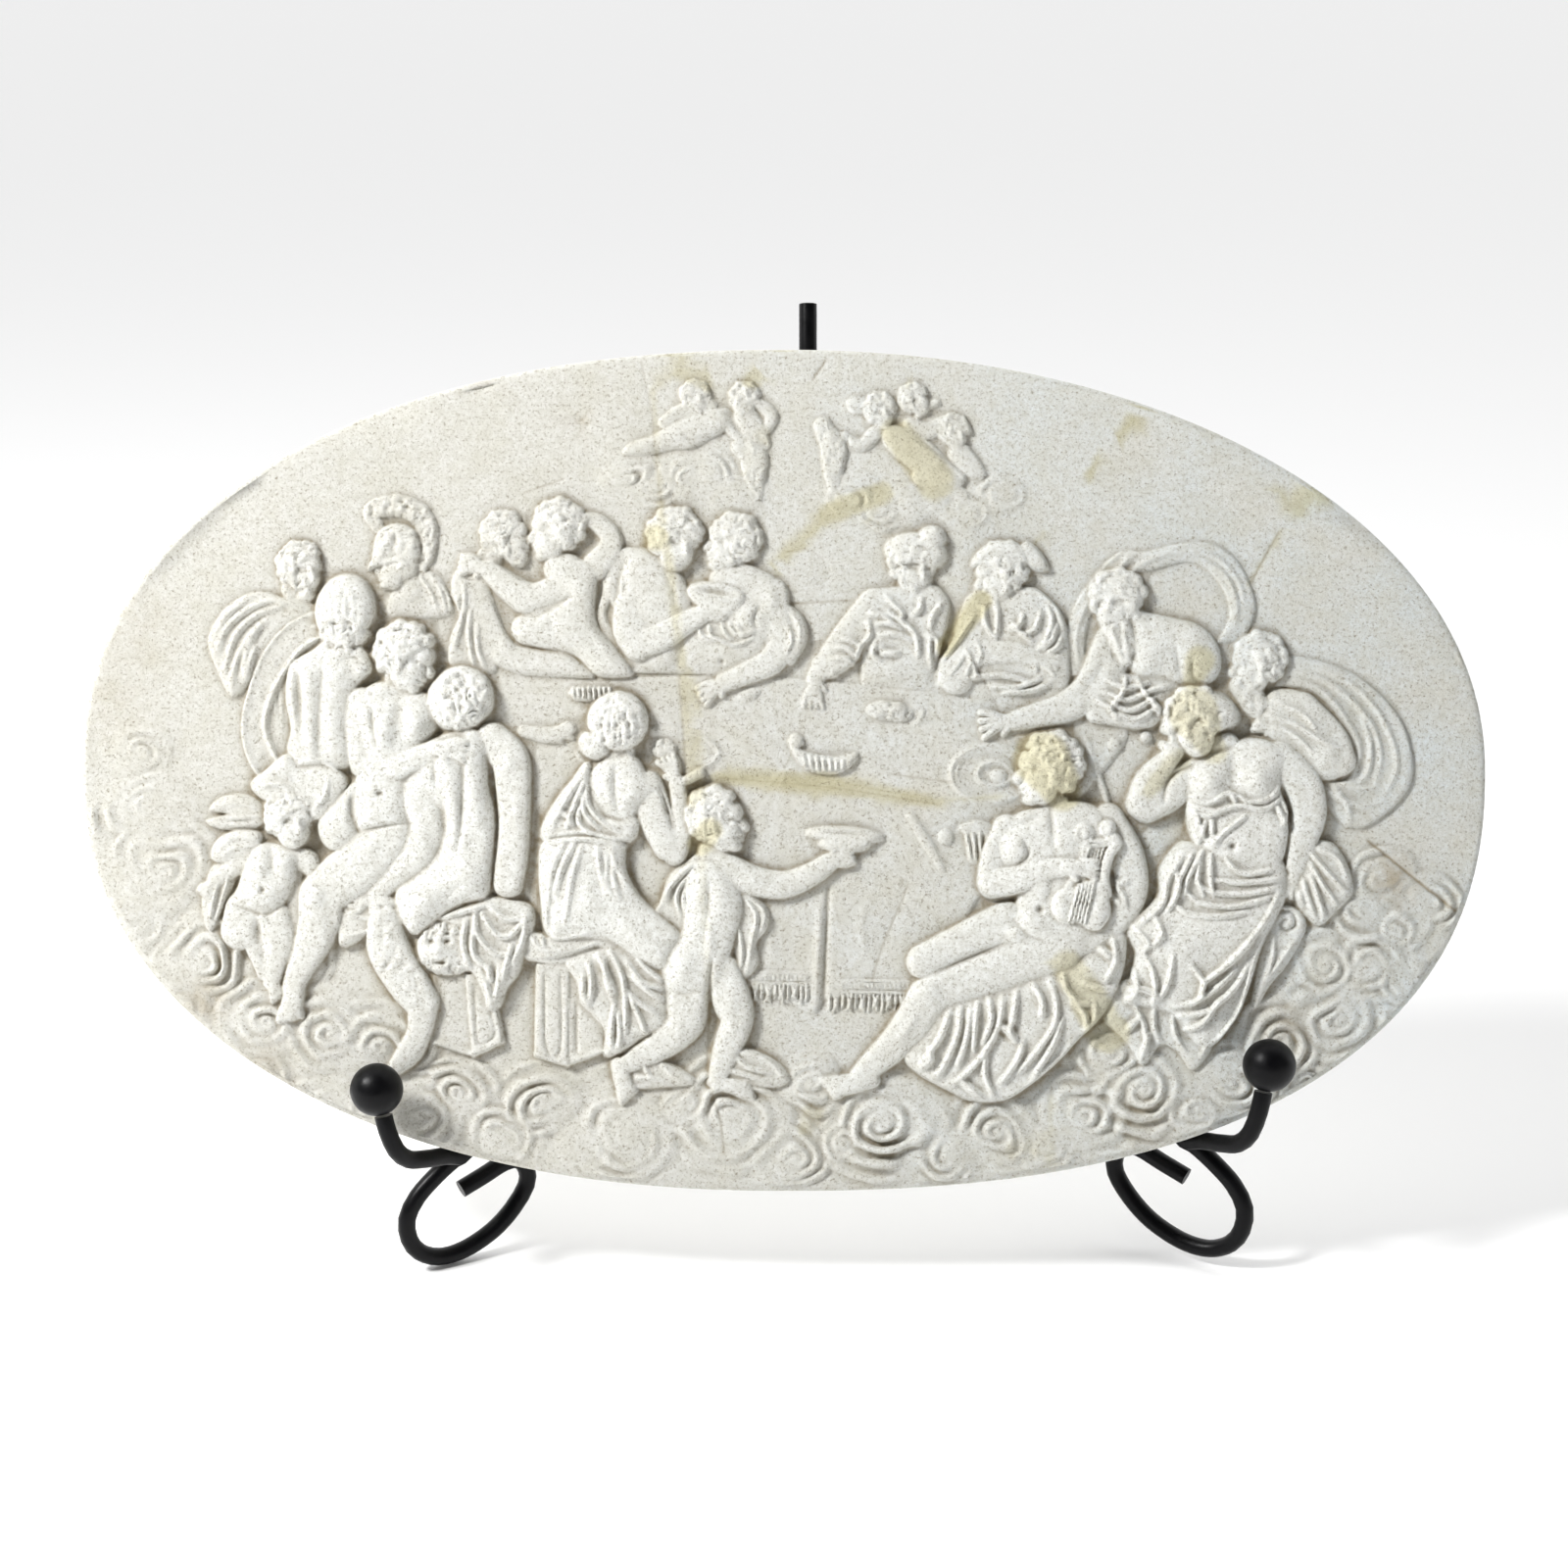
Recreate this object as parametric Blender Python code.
# Oval bas-relief plaque of cast plaster, standing on a black wrought iron easel.
# Metres, +Z up. The carved front looks towards -Y and leans back on the easel.
import math

import bmesh
import bpy
import numpy as np
from mathutils import Matrix, Vector

mm = 0.001

# Plaque
plaqueWidth = 400 * mm
plaqueHeight = 240 * mm
plaqueThickness = 12 * mm
reliefHeight = 7.5 * mm       # the highest carving above the ground
rimRound = 1.6 * mm
backChamfer = 0.8 * mm
leanBack = math.radians(17)
outlinePower = {"topLeft": 2.20, "topRight": 2.07, "bottomLeft": 2.18, "bottomRight": 2.38}
plaqueFaces = 6200            # triangles kept on the carved solid

# Easel
rodDiameter = 5.2 * mm
ballDiameter = 15 * mm
ballClearance = 6 * mm        # from the plaque's ground to each ball
weldGap = 0.3 * mm            # between pieces that touch
seatAt = {"left": -97 * mm, "right": 120 * mm}     # where each rest arm carries the rim
armReach = {"left": 17 * mm, "right": 15.8 * mm}   # sideways, from the seat to the ball
armRise = {"left": 21.4 * mm, "right": 23.8 * mm}
scrollSize = {"left": 38 * mm, "right": 40.5 * mm}
scrollSplay = math.radians(30)
stemAt = 7 * mm               # the stem stands a little right of the plaque's centre
stemAbove = 16.7 * mm         # its end above the plaque
legMeet = 72 * mm             # height on the plaque where the front legs come together
barAt = -72 * mm              # height of the cross bar on the plaque
legWeld = 28 * mm             # the front legs run side by side above there
stemWeld = 30 * mm            # and the stem bends backwards just above them
backFootReach = 118 * mm      # rear foot behind the plaque's centre
footBend = 8 * mm
heelLength = 7 * mm

# The carving is drawn on a plaque of this size and follows the real one's width and height.
drawnWidth, drawnHeight = 400.0, 240.0
cloudRings = 1.9      # broad rings round a curl of cloud 12 mm in radius
wallSlope = 2.8      # how steeply a form's side stands off the ground
emptyLayer = -9.0    # height of a layer with nothing drawn in it, mm
muscleDepth = 1.5    # muscles are carved this much deeper than they are written


def curve(points, step=1.5):
    # a smooth curve through points of any width, with a row about every step millimetres
    p = np.array(points, float)
    if len(p) < 3:
        return p
    ends = np.vstack([2 * p[0] - p[1], p, 2 * p[-1] - p[-2]])
    rows = []
    for a, b, c, d in zip(ends, ends[1:], ends[2:], ends[3:]):
        count = max(2, int(math.hypot(c[0] - b[0], c[1] - b[1]) / step))
        t = np.linspace(0, 1, count, endpoint=False)[:, None]
        bend = (2 * a - 5 * b + 4 * c - d) * t**2 + (3 * b - a - 3 * c + d) * t**3
        rows.append(b + 0.5 * ((c - a) * t + bend))
    return np.vstack(rows + [p[-1:]])


def closedCurve(points, step=1.5):
    p = [tuple(q) for q in points]
    loop = curve(p[-1:] + p + p[:2], step)
    start, stop = (int(np.argmin(np.hypot(*(half - p[0]).T))) for half in np.array_split(loop, 2))
    return loop[start:stop + len(loop) - len(loop) // 2]


def lumps(x, y, size, seed):
    # smooth random heights of -1 to 1, in lumps of about that size
    grid = np.random.default_rng(seed).uniform(-1, 1, (64, 64))
    i, j = np.floor(x / size).astype(int), np.floor(y / size).astype(int)
    u, v = x / size - i, y / size - j
    u, v = u * u * (3 - 2 * u), v * v * (3 - 2 * v)
    i, j, k, m = i % 64, j % 64, (i + 1) % 64, (j + 1) % 64
    return (grid[j, i] * (1 - u) + grid[j, k] * u) * (1 - v) + (grid[m, i] * (1 - u) + grid[m, k] * u) * v


def smoothMax(a, b, k):
    return np.maximum(a, b) + np.maximum(k - np.abs(a - b), 0) ** 2 / (4 * k)


class Relief:
    # carved heights over a grid, in millimetres on the plaque, x to the right and y up
    def __init__(self, halfWide, halfHigh, cell):
        self.cell = cell
        self.xs = np.arange(-halfWide, halfWide + cell, cell, dtype=np.float32)
        self.ys = np.arange(-halfHigh, halfHigh + cell, cell, dtype=np.float32)
        self.x, self.y = np.meshgrid(self.xs, self.ys)
        self.h = np.zeros_like(self.x)
        self.under = []
        self.lift, self.flat = 1.0, 0.4

    def window(self, x0, x1, y0, y1):
        i0 = min(len(self.xs) - 1, max(0, int((x0 - self.xs[0]) / self.cell)))
        j0 = min(len(self.ys) - 1, max(0, int((y0 - self.ys[0]) / self.cell)))
        i1 = max(i0 + 1, min(len(self.xs), int((x1 - self.xs[0]) / self.cell) + 2))
        j1 = max(j0 + 1, min(len(self.ys), int((y1 - self.ys[0]) / self.cell) + 2))
        return slice(j0, j1), slice(i0, i1)

    def figure(self, lift, flat):
        # opens an empty layer whose forms blend with one another, not with what lies under them
        self.under.append((self.h, self.lift, self.flat))
        self.h = np.full_like(self.x, emptyLayer)
        self.lift, self.flat = lift, flat

    def done(self, blend=0.25):
        layer = self.h
        self.h, self.lift, self.flat = self.under.pop()
        self.h = smoothMax(self.h, layer, blend)

    def trim(self, line):
        # lets a figure sink away towards a line, such as the table's far edge, and cuts it off below
        below = np.interp(self.x, [x for x, _ in line], [y for _, y in line]) - self.y
        sink = np.clip(1 + below / 14, 0, 1) ** 1.5
        self.h *= np.where(self.h > 0, 1 - 0.75 * sink, 1)
        self.h -= 1.5 * wallSlope * np.maximum(below, 0)

    def local(self, x, y, rx, ry, turn, reach):
        win = self.window(x - reach, x + reach, y - reach, y + reach)
        c, s = math.cos(math.radians(turn)), math.sin(math.radians(turn))
        u = (self.x[win] - x) * c + (self.y[win] - y) * s
        v = (self.y[win] - y) * c - (self.x[win] - x) * s
        return win, np.hypot(u / rx, v / ry)

    def along(self, path, reach, fill):
        # the best of fill(distance, start row, end row, share, step) over the short pieces of a path
        total = self.window(path[:, 0].min() - reach, path[:, 0].max() + reach,
                            path[:, 1].min() - reach, path[:, 1].max() + reach)
        best = np.full(self.x[total].shape, emptyLayer, np.float32)
        j0, i0 = total[0].start, total[1].start
        for k, (a, b) in enumerate(zip(path, path[1:])):
            win = self.window(min(a[0], b[0]) - reach, max(a[0], b[0]) + reach,
                              min(a[1], b[1]) - reach, max(a[1], b[1]) + reach)
            x, y = self.x[win], self.y[win]
            dx, dy = b[0] - a[0], b[1] - a[1]
            t = np.clip(((x - a[0]) * dx + (y - a[1]) * dy) / max(dx * dx + dy * dy, 1e-9), 0, 1)
            part = slice(win[0].start - j0, win[0].stop - j0), slice(win[1].start - i0, win[1].stop - i0)
            d = np.hypot(x - a[0] - t * dx, y - a[1] - t * dy)
            best[part] = np.maximum(best[part], fill(d, a, b, t, k))
        return total, best

    def limb(self, points, blend=0.9):
        # a rounded limb through (x, y, radius) points; a fourth number raises it there
        path = curve([(*p, 0.0)[:4] for p in points], 1.0)

        def section(d, a, b, t, k):
            r = a[2] + (b[2] - a[2]) * t
            z = self.lift + a[3] + (b[3] - a[3]) * t
            top = self.flat * 1.15 * r ** 0.9 * np.sqrt(np.maximum(1 - (d / r) ** 2.4, 0))
            return z + top - wallSlope * np.maximum(d - r, 0)

        reach = path[:, 2].max() + (self.lift + max(path[:, 3].max(), 0)) / wallSlope + 1
        win, best = self.along(path, reach, section)
        self.h[win] = smoothMax(self.h[win], best, blend)

    def blob(self, x, y, rx, ry=None, turn=0, up=0.0, deep=None, blend=0.5):
        ry = ry or rx
        small = min(rx, ry)
        deep = self.flat * small * 1.1 if deep is None else deep
        win, q = self.local(x, y, rx, ry, turn, max(rx, ry) + (self.lift + abs(up)) / wallSlope + 1)
        top = deep * np.sqrt(np.maximum(1 - q * q, 0))
        h = self.lift + up + top - wallSlope * small * np.maximum(q - 1, 0)
        self.h[win] = smoothMax(self.h[win], h, blend)

    def swell(self, x, y, rx, ry=None, turn=0, high=0.5):
        # a soft rise, or a hollow where the height is negative
        ry = ry or rx
        win, q = self.local(x, y, rx, ry, turn, 2.2 * max(rx, ry))
        self.h[win] += high * np.exp(-q * q)

    def ridge(self, points, wide=0.7, high=0.6, fade=0.5, groove=0.0):
        # a long raised line, or a cut one where the height is negative, that fades at both ends
        path = curve(points, 1.2)
        count = len(path) - 1

        def section(d, a, b, t, k):
            ends = np.sin(np.pi * np.clip((k + t) / count, 0.004, 0.996)) ** fade
            beside = np.exp(-((d - 1.7 * wide) / (0.8 * wide)) ** 2)
            return ends * (np.exp(-(d / wide) ** 2) - groove * beside)

        win, best = self.along(path, 3.4 * wide, section)
        self.h[win] += high * np.where(best > emptyLayer, best, 0)

    def sheet(self, outline, up=0.0, dome=0.8, edge=3.0, blend=0.3, smooth=True):
        # cloth or board inside a closed outline
        path = closedCurve(outline) if smooth else np.array(outline, float)
        reach = (self.lift + abs(up)) / wallSlope + 1.2
        win = self.window(path[:, 0].min() - reach, path[:, 0].max() + reach,
                          path[:, 1].min() - reach, path[:, 1].max() + reach)
        x, y = self.x[win], self.y[win]
        d = np.full(x.shape, 1e9, np.float32)
        inside = np.zeros(x.shape, bool)
        for a, b in zip(path, np.roll(path, -1, axis=0)):
            dx, dy = b[0] - a[0], b[1] - a[1]
            t = np.clip(((x - a[0]) * dx + (y - a[1]) * dy) / max(dx * dx + dy * dy, 1e-9), 0, 1)
            d = np.minimum(d, np.hypot(x - a[0] - t * dx, y - a[1] - t * dy))
            if a[1] != b[1]:
                inside ^= ((a[1] > y) != (b[1] > y)) & (x < dx * (y - a[1]) / dy + a[0])
        z = self.lift + up
        rounded = dome * np.sqrt(1 - (1 - np.minimum(d / edge, 1)) ** 2)
        h = np.where(inside, z + rounded, z - wallSlope * d)
        self.h[win] = smoothMax(self.h[win], h, blend)

    def muscles(self, *places):
        # soft rises and hollows of a body: x, y, half sizes, turn in degrees and height
        for x, y, rx, ry, turn, high in places:
            self.swell(x, y, rx, ry, turn, muscleDepth * high)

    def head(self, x, y, r, look=0.5, tilt=0, up=0.4, hair=True, beard=0.0, back=False):
        # look runs from -1, facing left, through 0, facing out, to 1
        turn = math.radians(tilt)

        def at(lx, ly):
            return (x + r * (lx * math.cos(turn) - ly * math.sin(turn)),
                    y + r * (lx * math.sin(turn) + ly * math.cos(turn)))

        deep = self.flat * r
        side = 1 if look > 0 else -1
        sx, sy = at(-0.16 * look, 0.2)
        self.blob(sx, sy, 0.8 * r, 0.8 * r, tilt, up, deep * 1.1)
        if not back:
            self.blob(*at(0.24 * look, -0.24), 0.55 * r, 0.72 * r, tilt, up, deep)
            c = 0.5 * look
            gap = 0.36 * math.sqrt(1 - 0.85 * look * look)
            if abs(look) > 0.7:
                self.blob(*at(0.5 * side, 0.3), 0.3 * r, 0.34 * r, tilt, up, deep * 0.7)
                bridge, tip = at(0.6 * side, 0.16), at(0.84 * side, -0.13)
                self.limb([(*bridge, 0.13 * r, up), (*tip, 0.12 * r, up)], 0.2)
                self.blob(*at(0.68 * side, -0.36), 0.15 * r, 0.12 * r, tilt, up, deep * 0.5, 0.2)
                self.blob(*at(0.62 * side, -0.52), 0.16 * r, 0.11 * r, tilt, up, deep * 0.5, 0.2)
                self.blob(*at(0.5 * side, -0.74), 0.24 * r, 0.2 * r, tilt, up, deep * 0.6, 0.3)
                self.swell(*at(0.5 * side, 0.08), 0.16 * r, 0.1 * r, tilt, -0.09 * r)
                self.swell(*at(0.5 * side, 0.06), 0.07 * r, 0.06 * r, tilt, 0.08 * r)
                self.ridge([at(0.52 * side, -0.44), at(0.74 * side, -0.44)], 0.05 * r, -0.06 * r)
            else:
                tip = c + 0.3 * look
                self.ridge([at(c, 0.26), at(c + 0.1 * look, 0.05), at(tip, -0.16)], 0.1 * r, 0.13 * r, 0.25)
                self.swell(*at(tip, -0.17), 0.11 * r, 0.09 * r, tilt, 0.1 * r)
                for sign, wide in ((-side, 1.0), (side, 1 - abs(look))):
                    ex, ey = at(c + sign * gap * (0.5 + 0.5 * wide), 0.07)
                    self.swell(ex, ey, 0.17 * r, 0.11 * r, tilt, -0.12 * r)
                    self.swell(ex, ey, 0.08 * r, 0.06 * r, tilt, 0.09 * r)
                    self.swell(*at(c + sign * gap, 0.25), 0.2 * r, 0.06 * r, tilt, 0.05 * r)
                    self.swell(*at(c + sign * gap, -0.26), 0.18 * r, 0.16 * r, tilt, 0.06 * r)
                mouth = c + 0.06 * look
                self.swell(*at(mouth, -0.44), 0.2 * r, 0.12 * r, tilt, 0.08 * r)
                lips = [at(mouth - 0.17, -0.45), at(mouth, -0.42), at(mouth + 0.17, -0.45)]
                self.ridge(lips, 0.05 * r, -0.09 * r)
                self.swell(*at(mouth, -0.58), 0.18 * r, 0.06 * r, tilt, -0.05 * r)
                self.swell(*at(mouth, -0.76), 0.16 * r, 0.12 * r, tilt, 0.1 * r)
        if beard:
            chin = at(0.36 * look, -0.66)
            self.blob(*chin, 0.42 * r, beard * r, tilt, up, deep * 0.75)
        if hair:
            hx, hy = at(-0.22 * look, 0.3)
            self.blob(hx, hy, 0.78 * r, 0.74 * r, tilt, up + 0.25, deep * 1.05, 0.2)
            if not back:
                self.swell(*at(0.45 * look, -0.1), 0.45 * r, 0.55 * r, tilt, -0.02 * r)

    def hand(self, x, y, way, long=7.0, spread=30, bend=0, thick=1.0, up=0.3):
        # palm at (x, y), fingers towards the angle way in degrees
        a = math.radians(way)
        px, py = x + 0.35 * long * math.cos(a), y + 0.35 * long * math.sin(a)
        self.limb([(x, y, 1.9 * thick, up), (px, py, 2.0 * thick, up)], 0.3)
        for k in range(4):
            b = a + math.radians(spread * (k / 3 - 0.5))
            ox, oy = 1.5 * thick * (k / 1.5 - 1) * -math.sin(a), 1.5 * thick * (k / 1.5 - 1) * math.cos(a)
            mid = (px + ox + 0.3 * long * math.cos(b), py + oy + 0.3 * long * math.sin(b))
            e = b + math.radians(bend)
            tip = (mid[0] + 0.3 * long * math.cos(e), mid[1] + 0.3 * long * math.sin(e))
            self.limb([(px + ox, py + oy, 0.85 * thick, up), (*mid, 0.8 * thick, up + 0.1),
                       (*tip, 0.6 * thick, up)], 0.12)
        side = a + math.radians(50 if bend >= 0 else -50)
        thumb = (x + 0.45 * long * math.cos(side), y + 0.45 * long * math.sin(side))
        self.limb([(x, y, 1.1 * thick, up), (*thumb, 0.8 * thick, up)], 0.2)

    def cloudBank(self, rolls, rings):
        # curls of cloud side by side: brushed rings round each one, which run together between them
        total, weight = np.zeros_like(self.h), np.full_like(self.h, 1e-6)
        cover, dome = np.zeros_like(self.h), np.zeros_like(self.h)
        bend = [2.2 * lumps(self.x, self.y, 11, n) + 0.4 * lumps(self.x, self.y, 4, n + 2)
                for n in (11, 12)]
        strong = np.clip(0.65 + 0.9 * lumps(self.x, self.y, 7, 21), 0.08, 1.4)
        for x, y, size, start, way, high in rolls:
            win = self.window(x - 2.3 * size, x + 2.3 * size, y - 2.3 * size, y + 2.3 * size)
            dx, dy = self.x[win] - x + bend[0][win], (self.y[win] - y + bend[1][win]) / 0.86
            d, angle = np.hypot(dx, dy), way * np.arctan2(dy, dx)
            phase = angle / (2 * np.pi) + rings * math.sqrt(size / 12) * (d / size) ** 0.8 + start / 360
            ring = (0.5 + 0.5 * np.cos(2 * np.pi * phase)) ** 1.2 - 0.35
            tufts = 0.9 + 0.5 * lumps(angle * 1.4 + 9, d / 2.4, 1, start + 5)
            tufts *= 0.62 + 0.42 * np.cos(angle - math.radians(start))
            near = np.exp(-3.2 * (d / size) ** 2) + 1e-5
            total[win] += near * high * ring * tufts * np.clip(2.5 * d / size, 0.3, 1)
            weight[win] += near
            cover[win] = np.maximum(cover[win], np.clip(1.9 - d / size, 0, 1))
            dome[win] = np.maximum(dome[win], high * np.clip(1.15 - d / size, 0, 1) ** 0.7)
        cover = cover * cover * (3 - 2 * cover)
        rise = cover * (0.35 + 1.2 * dome + 1.15 * strong * total / weight) - 0.3 * (1 - cover)
        self.h = smoothMax(self.h, rise, 0.3)

    def foot(self, heel, toes, wide=2.6, up=0.3):
        # a bare foot from its heel to its spread toes
        (x, y), ux, uy = heel, toes[0] - heel[0], toes[1] - heel[1]
        self.limb([(x, y, 0.75 * wide, up), (x + 0.35 * ux, y + 0.35 * uy, 0.9 * wide, up + 0.3),
                   (x + 0.72 * ux, y + 0.72 * uy, wide, up)], 0.4)
        for n in range(5):
            side, long = wide * (0.4 * n - 0.8) / math.hypot(ux, uy), 1.04 - 0.05 * n
            root = (x + 0.75 * ux - side * uy, y + 0.75 * uy + side * ux)
            tip = (x + long * ux - 1.2 * side * uy, y + long * uy + 1.2 * side * ux)
            self.limb([(*root, 0.3 * wide, up + 0.2), (*tip, 0.24 * wide, up)], 0.1)


# The table's far edge, which cuts off those who sit behind it.
tableEdge = [(-70, 28.4), (-26, 27.6), (-9, 26.4), (8, 25.4), (41, 22.8), (75, 17.4), (98, 11.4)]


def oldManBehindShield(r):
    r.figure(0.9, 0.28)
    r.sheet([(-140, 48), (-147, 50.6), (-153, 50), (-159, 46), (-163, 40), (-163.6, 35), (-161, 28),
             (-157, 21), (-151, 26), (-148, 33), (-142, 40), (-136, 44), (-131, 47)], 0, 1.0, 3)
    r.limb([(-139, 52, 4), (-138, 47, 4)])
    r.head(-137.4, 56.6, 6.6, 0.6, 6, 0.5, True, 0.4)
    r.done()


def shieldDisc(r):
    r.figure(1.2, 0.3)
    outer = [(-131, 45.5), (-136, 44), (-142, 40.5), (-148, 33), (-152, 23), (-154, 13), (-152.5, 4),
             (-148, -3)]
    inner = [(-143, -1), (-145, 5), (-147.5, 12), (-146, 20), (-142, 28), (-137, 34.5), (-131, 38),
             (-124, 40)]
    r.sheet(outer + [(-138, -6), (-125, 10), (-122, 30)], 0, 0.4, 2)
    r.ridge(outer, 0.7, 0.9, 0.1)
    r.ridge(inner, 0.8, 1.3, 0.1)
    for (ax, ay), (bx, by) in zip(outer[1:], inner[-2::-1]):
        r.swell((ax + bx) / 2, (ay + by) / 2, 0.7, 0.7, 0, 0.35)
    r.swell(-136, 20, 11, 20, 0, -0.7)
    r.done()


def helmetedBust(r):
    r.figure(0.8, 0.28)
    r.sheet([(-112, 50), (-110.6, 44), (-94, 44.4), (-95, 49), (-98, 55), (-104, 57), (-108, 55)], 0, 1.4,
            4)
    r.head(-110, 57.6, 6.4, -0.85, 0, 0.5, False)
    r.sheet([(-118, 57.4), (-115, 58.4), (-110, 59.8), (-107, 58), (-105, 58.4), (-103.4, 63), (-105, 68),
             (-110, 70), (-115, 68), (-116.6, 63), (-117, 60)], 0.9, 2, 4)
    r.ridge([(-118, 57.4), (-113, 59), (-108.6, 60), (-107, 57.6)], 0.6, 0.8, 0.2)
    r.ridge([(-108, 69.6), (-105.4, 66), (-105, 61)], 0.6, 0.6)
    r.limb([(-115.4, 69, 1.6), (-117, 73.6, 2.6), (-111, 75.4, 3), (-105, 73.6, 3.2), (-101.6, 68.6, 3),
            (-101.8, 62, 2.2), (-103.6, 57, 1.6)], 0.4)
    r.done()


def goddessFromBehind(r):
    r.figure(2.0, 0.3)
    r.sheet([(-128, 39), (-134, 34), (-140, 30), (-141.5, 21), (-140, 12), (-141, 5), (-137, 0),
             (-127, 0), (-122, 3), (-122, 14), (-121, 24), (-117, 29), (-119, 34), (-123, 38)], 0, 2.6, 7)
    r.muscles((-137.5, 20, 1.3, 9, 3, -0.9), (-140, 24, 1.5, 5, 0, 0.3), (-127, 27, 4, 5, 30, 0.7),
              (-119.5, 28, 2, 3, 0, 0.8), (-135, 27, 2.4, 5, 0, 0.5), (-128, 12, 3, 8, 8, 0.5),
              (-134, 9, 2, 7, 8, 0.4))
    r.ridge([(-130.5, 31), (-131.5, 20), (-132, 10), (-132, 2)], 1.2, -0.8, 0.5)
    r.ridge([(-126, 31), (-122, 32), (-118, 29)], 0.6, -0.6)
    r.sheet([(-151, -4), (-147, 0), (-141, 4.5), (-137, 1), (-131, 2), (-126, -0.5), (-124, -4),
             (-127, -9), (-132, -14), (-140, -12), (-148, -8)], 0.9, 1.5, 4)
    r.blob(-124.8, 45.5, 8, 9.6, -12, 1.2, 3.4)
    r.blob(-125, 39, 6.6, 4.4, 0, 1.2, 2.6)
    r.ridge([(-132, 42), (-126, 40.5), (-119, 41)], 0.6, 0.9, 0.2)
    r.ridge([(-117.5, 51), (-116, 44), (-117.5, 36)], 0.6, 0.8, 0.3)
    for n in range(5):
        r.ridge([(-131 + 2.4 * n, 43), (-130 + 2 * n, 48), (-127 + 1.2 * n, 53)], 0.5, 0.3)
    r.done()


def seatedNude(r):
    r.figure(1.9, 0.3)
    r.limb([(-138, -27, 1.4), (-139.4, -36, 2), (-139, -44, 1.6), (-140, -50, 1.2)])
    r.done()
    r.figure(2.6, 0.36)
    r.limb([(-109, 27, 4.2), (-109, 20, 5)])
    r.sheet([(-113, 25), (-119, 23), (-124, 18), (-123, 12), (-120, 4), (-122, -4), (-123, -12),
             (-120, -18), (-107, -19), (-106, -10), (-106, -2), (-102, 6), (-98, 14), (-99, 20),
             (-105, 23)], 0, 3.2, 7)
    r.sheet([(-121, -3), (-127, -8), (-132, -14), (-131, -20), (-127, -23), (-121, -19), (-120.5, -10)],
            0, 2.6, 6)
    r.limb([(-112, -19.5, 7.2), (-116, -23, 7.8), (-123, -29, 7.6), (-131, -35, 6.4)])
    r.limb([(-131.5, -36, 6.4), (-132, -43, 5.9), (-135, -51, 4.6), (-138.2, -58, 3.3),
            (-139.5, -62, 2.9)])
    r.foot((-138.6, -60), (-140.4, -71), 3.0, 0.2)
    r.muscles((-113.5, 10.5, 3.2, 3.8, 0, 1.5), (-104.2, 12.2, 2.9, 3.6, 0, 1.5),
              (-109, 16, 2, 4, 0, -0.5), (-114.5, -6.6, 0.9, 0.7, 0, -0.8), (-115, -12, 5, 3, 0, 0.5),
              (-112, 0, 2, 4, 10, -0.3), (-133, -36, 2.4, 2.4, 0, 0.7), (-136, -40, 1, 3, 0, -0.3),
              (-111, 21, 5, 1.4, 10, -0.4), (-128, -44, 2, 6, 10, -0.4), (-117, -22, 3, 2, 40, 0.4))
    r.ridge([(-121, -17.6), (-114, -16), (-106.5, -15)], 0.7, -1.0)
    r.ridge([(-122.5, -5), (-122.6, -12), (-120.5, -18)], 0.7, -0.9)
    r.ridge([(-106, -19), (-109, -25), (-113, -29)], 0.8, -0.4)
    r.limb([(-120.3, 19, 4.2, 0.6), (-121, 12, 4, 0.7), (-119.6, 3, 3.8, 1)], 0.5)
    r.ridge([(-116.8, 17), (-116.2, 11), (-115, 6)], 0.8, -1.2)
    r.head(-107, 31.5, 8.8, 0.55, -28, 1.0)
    r.done()


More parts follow.
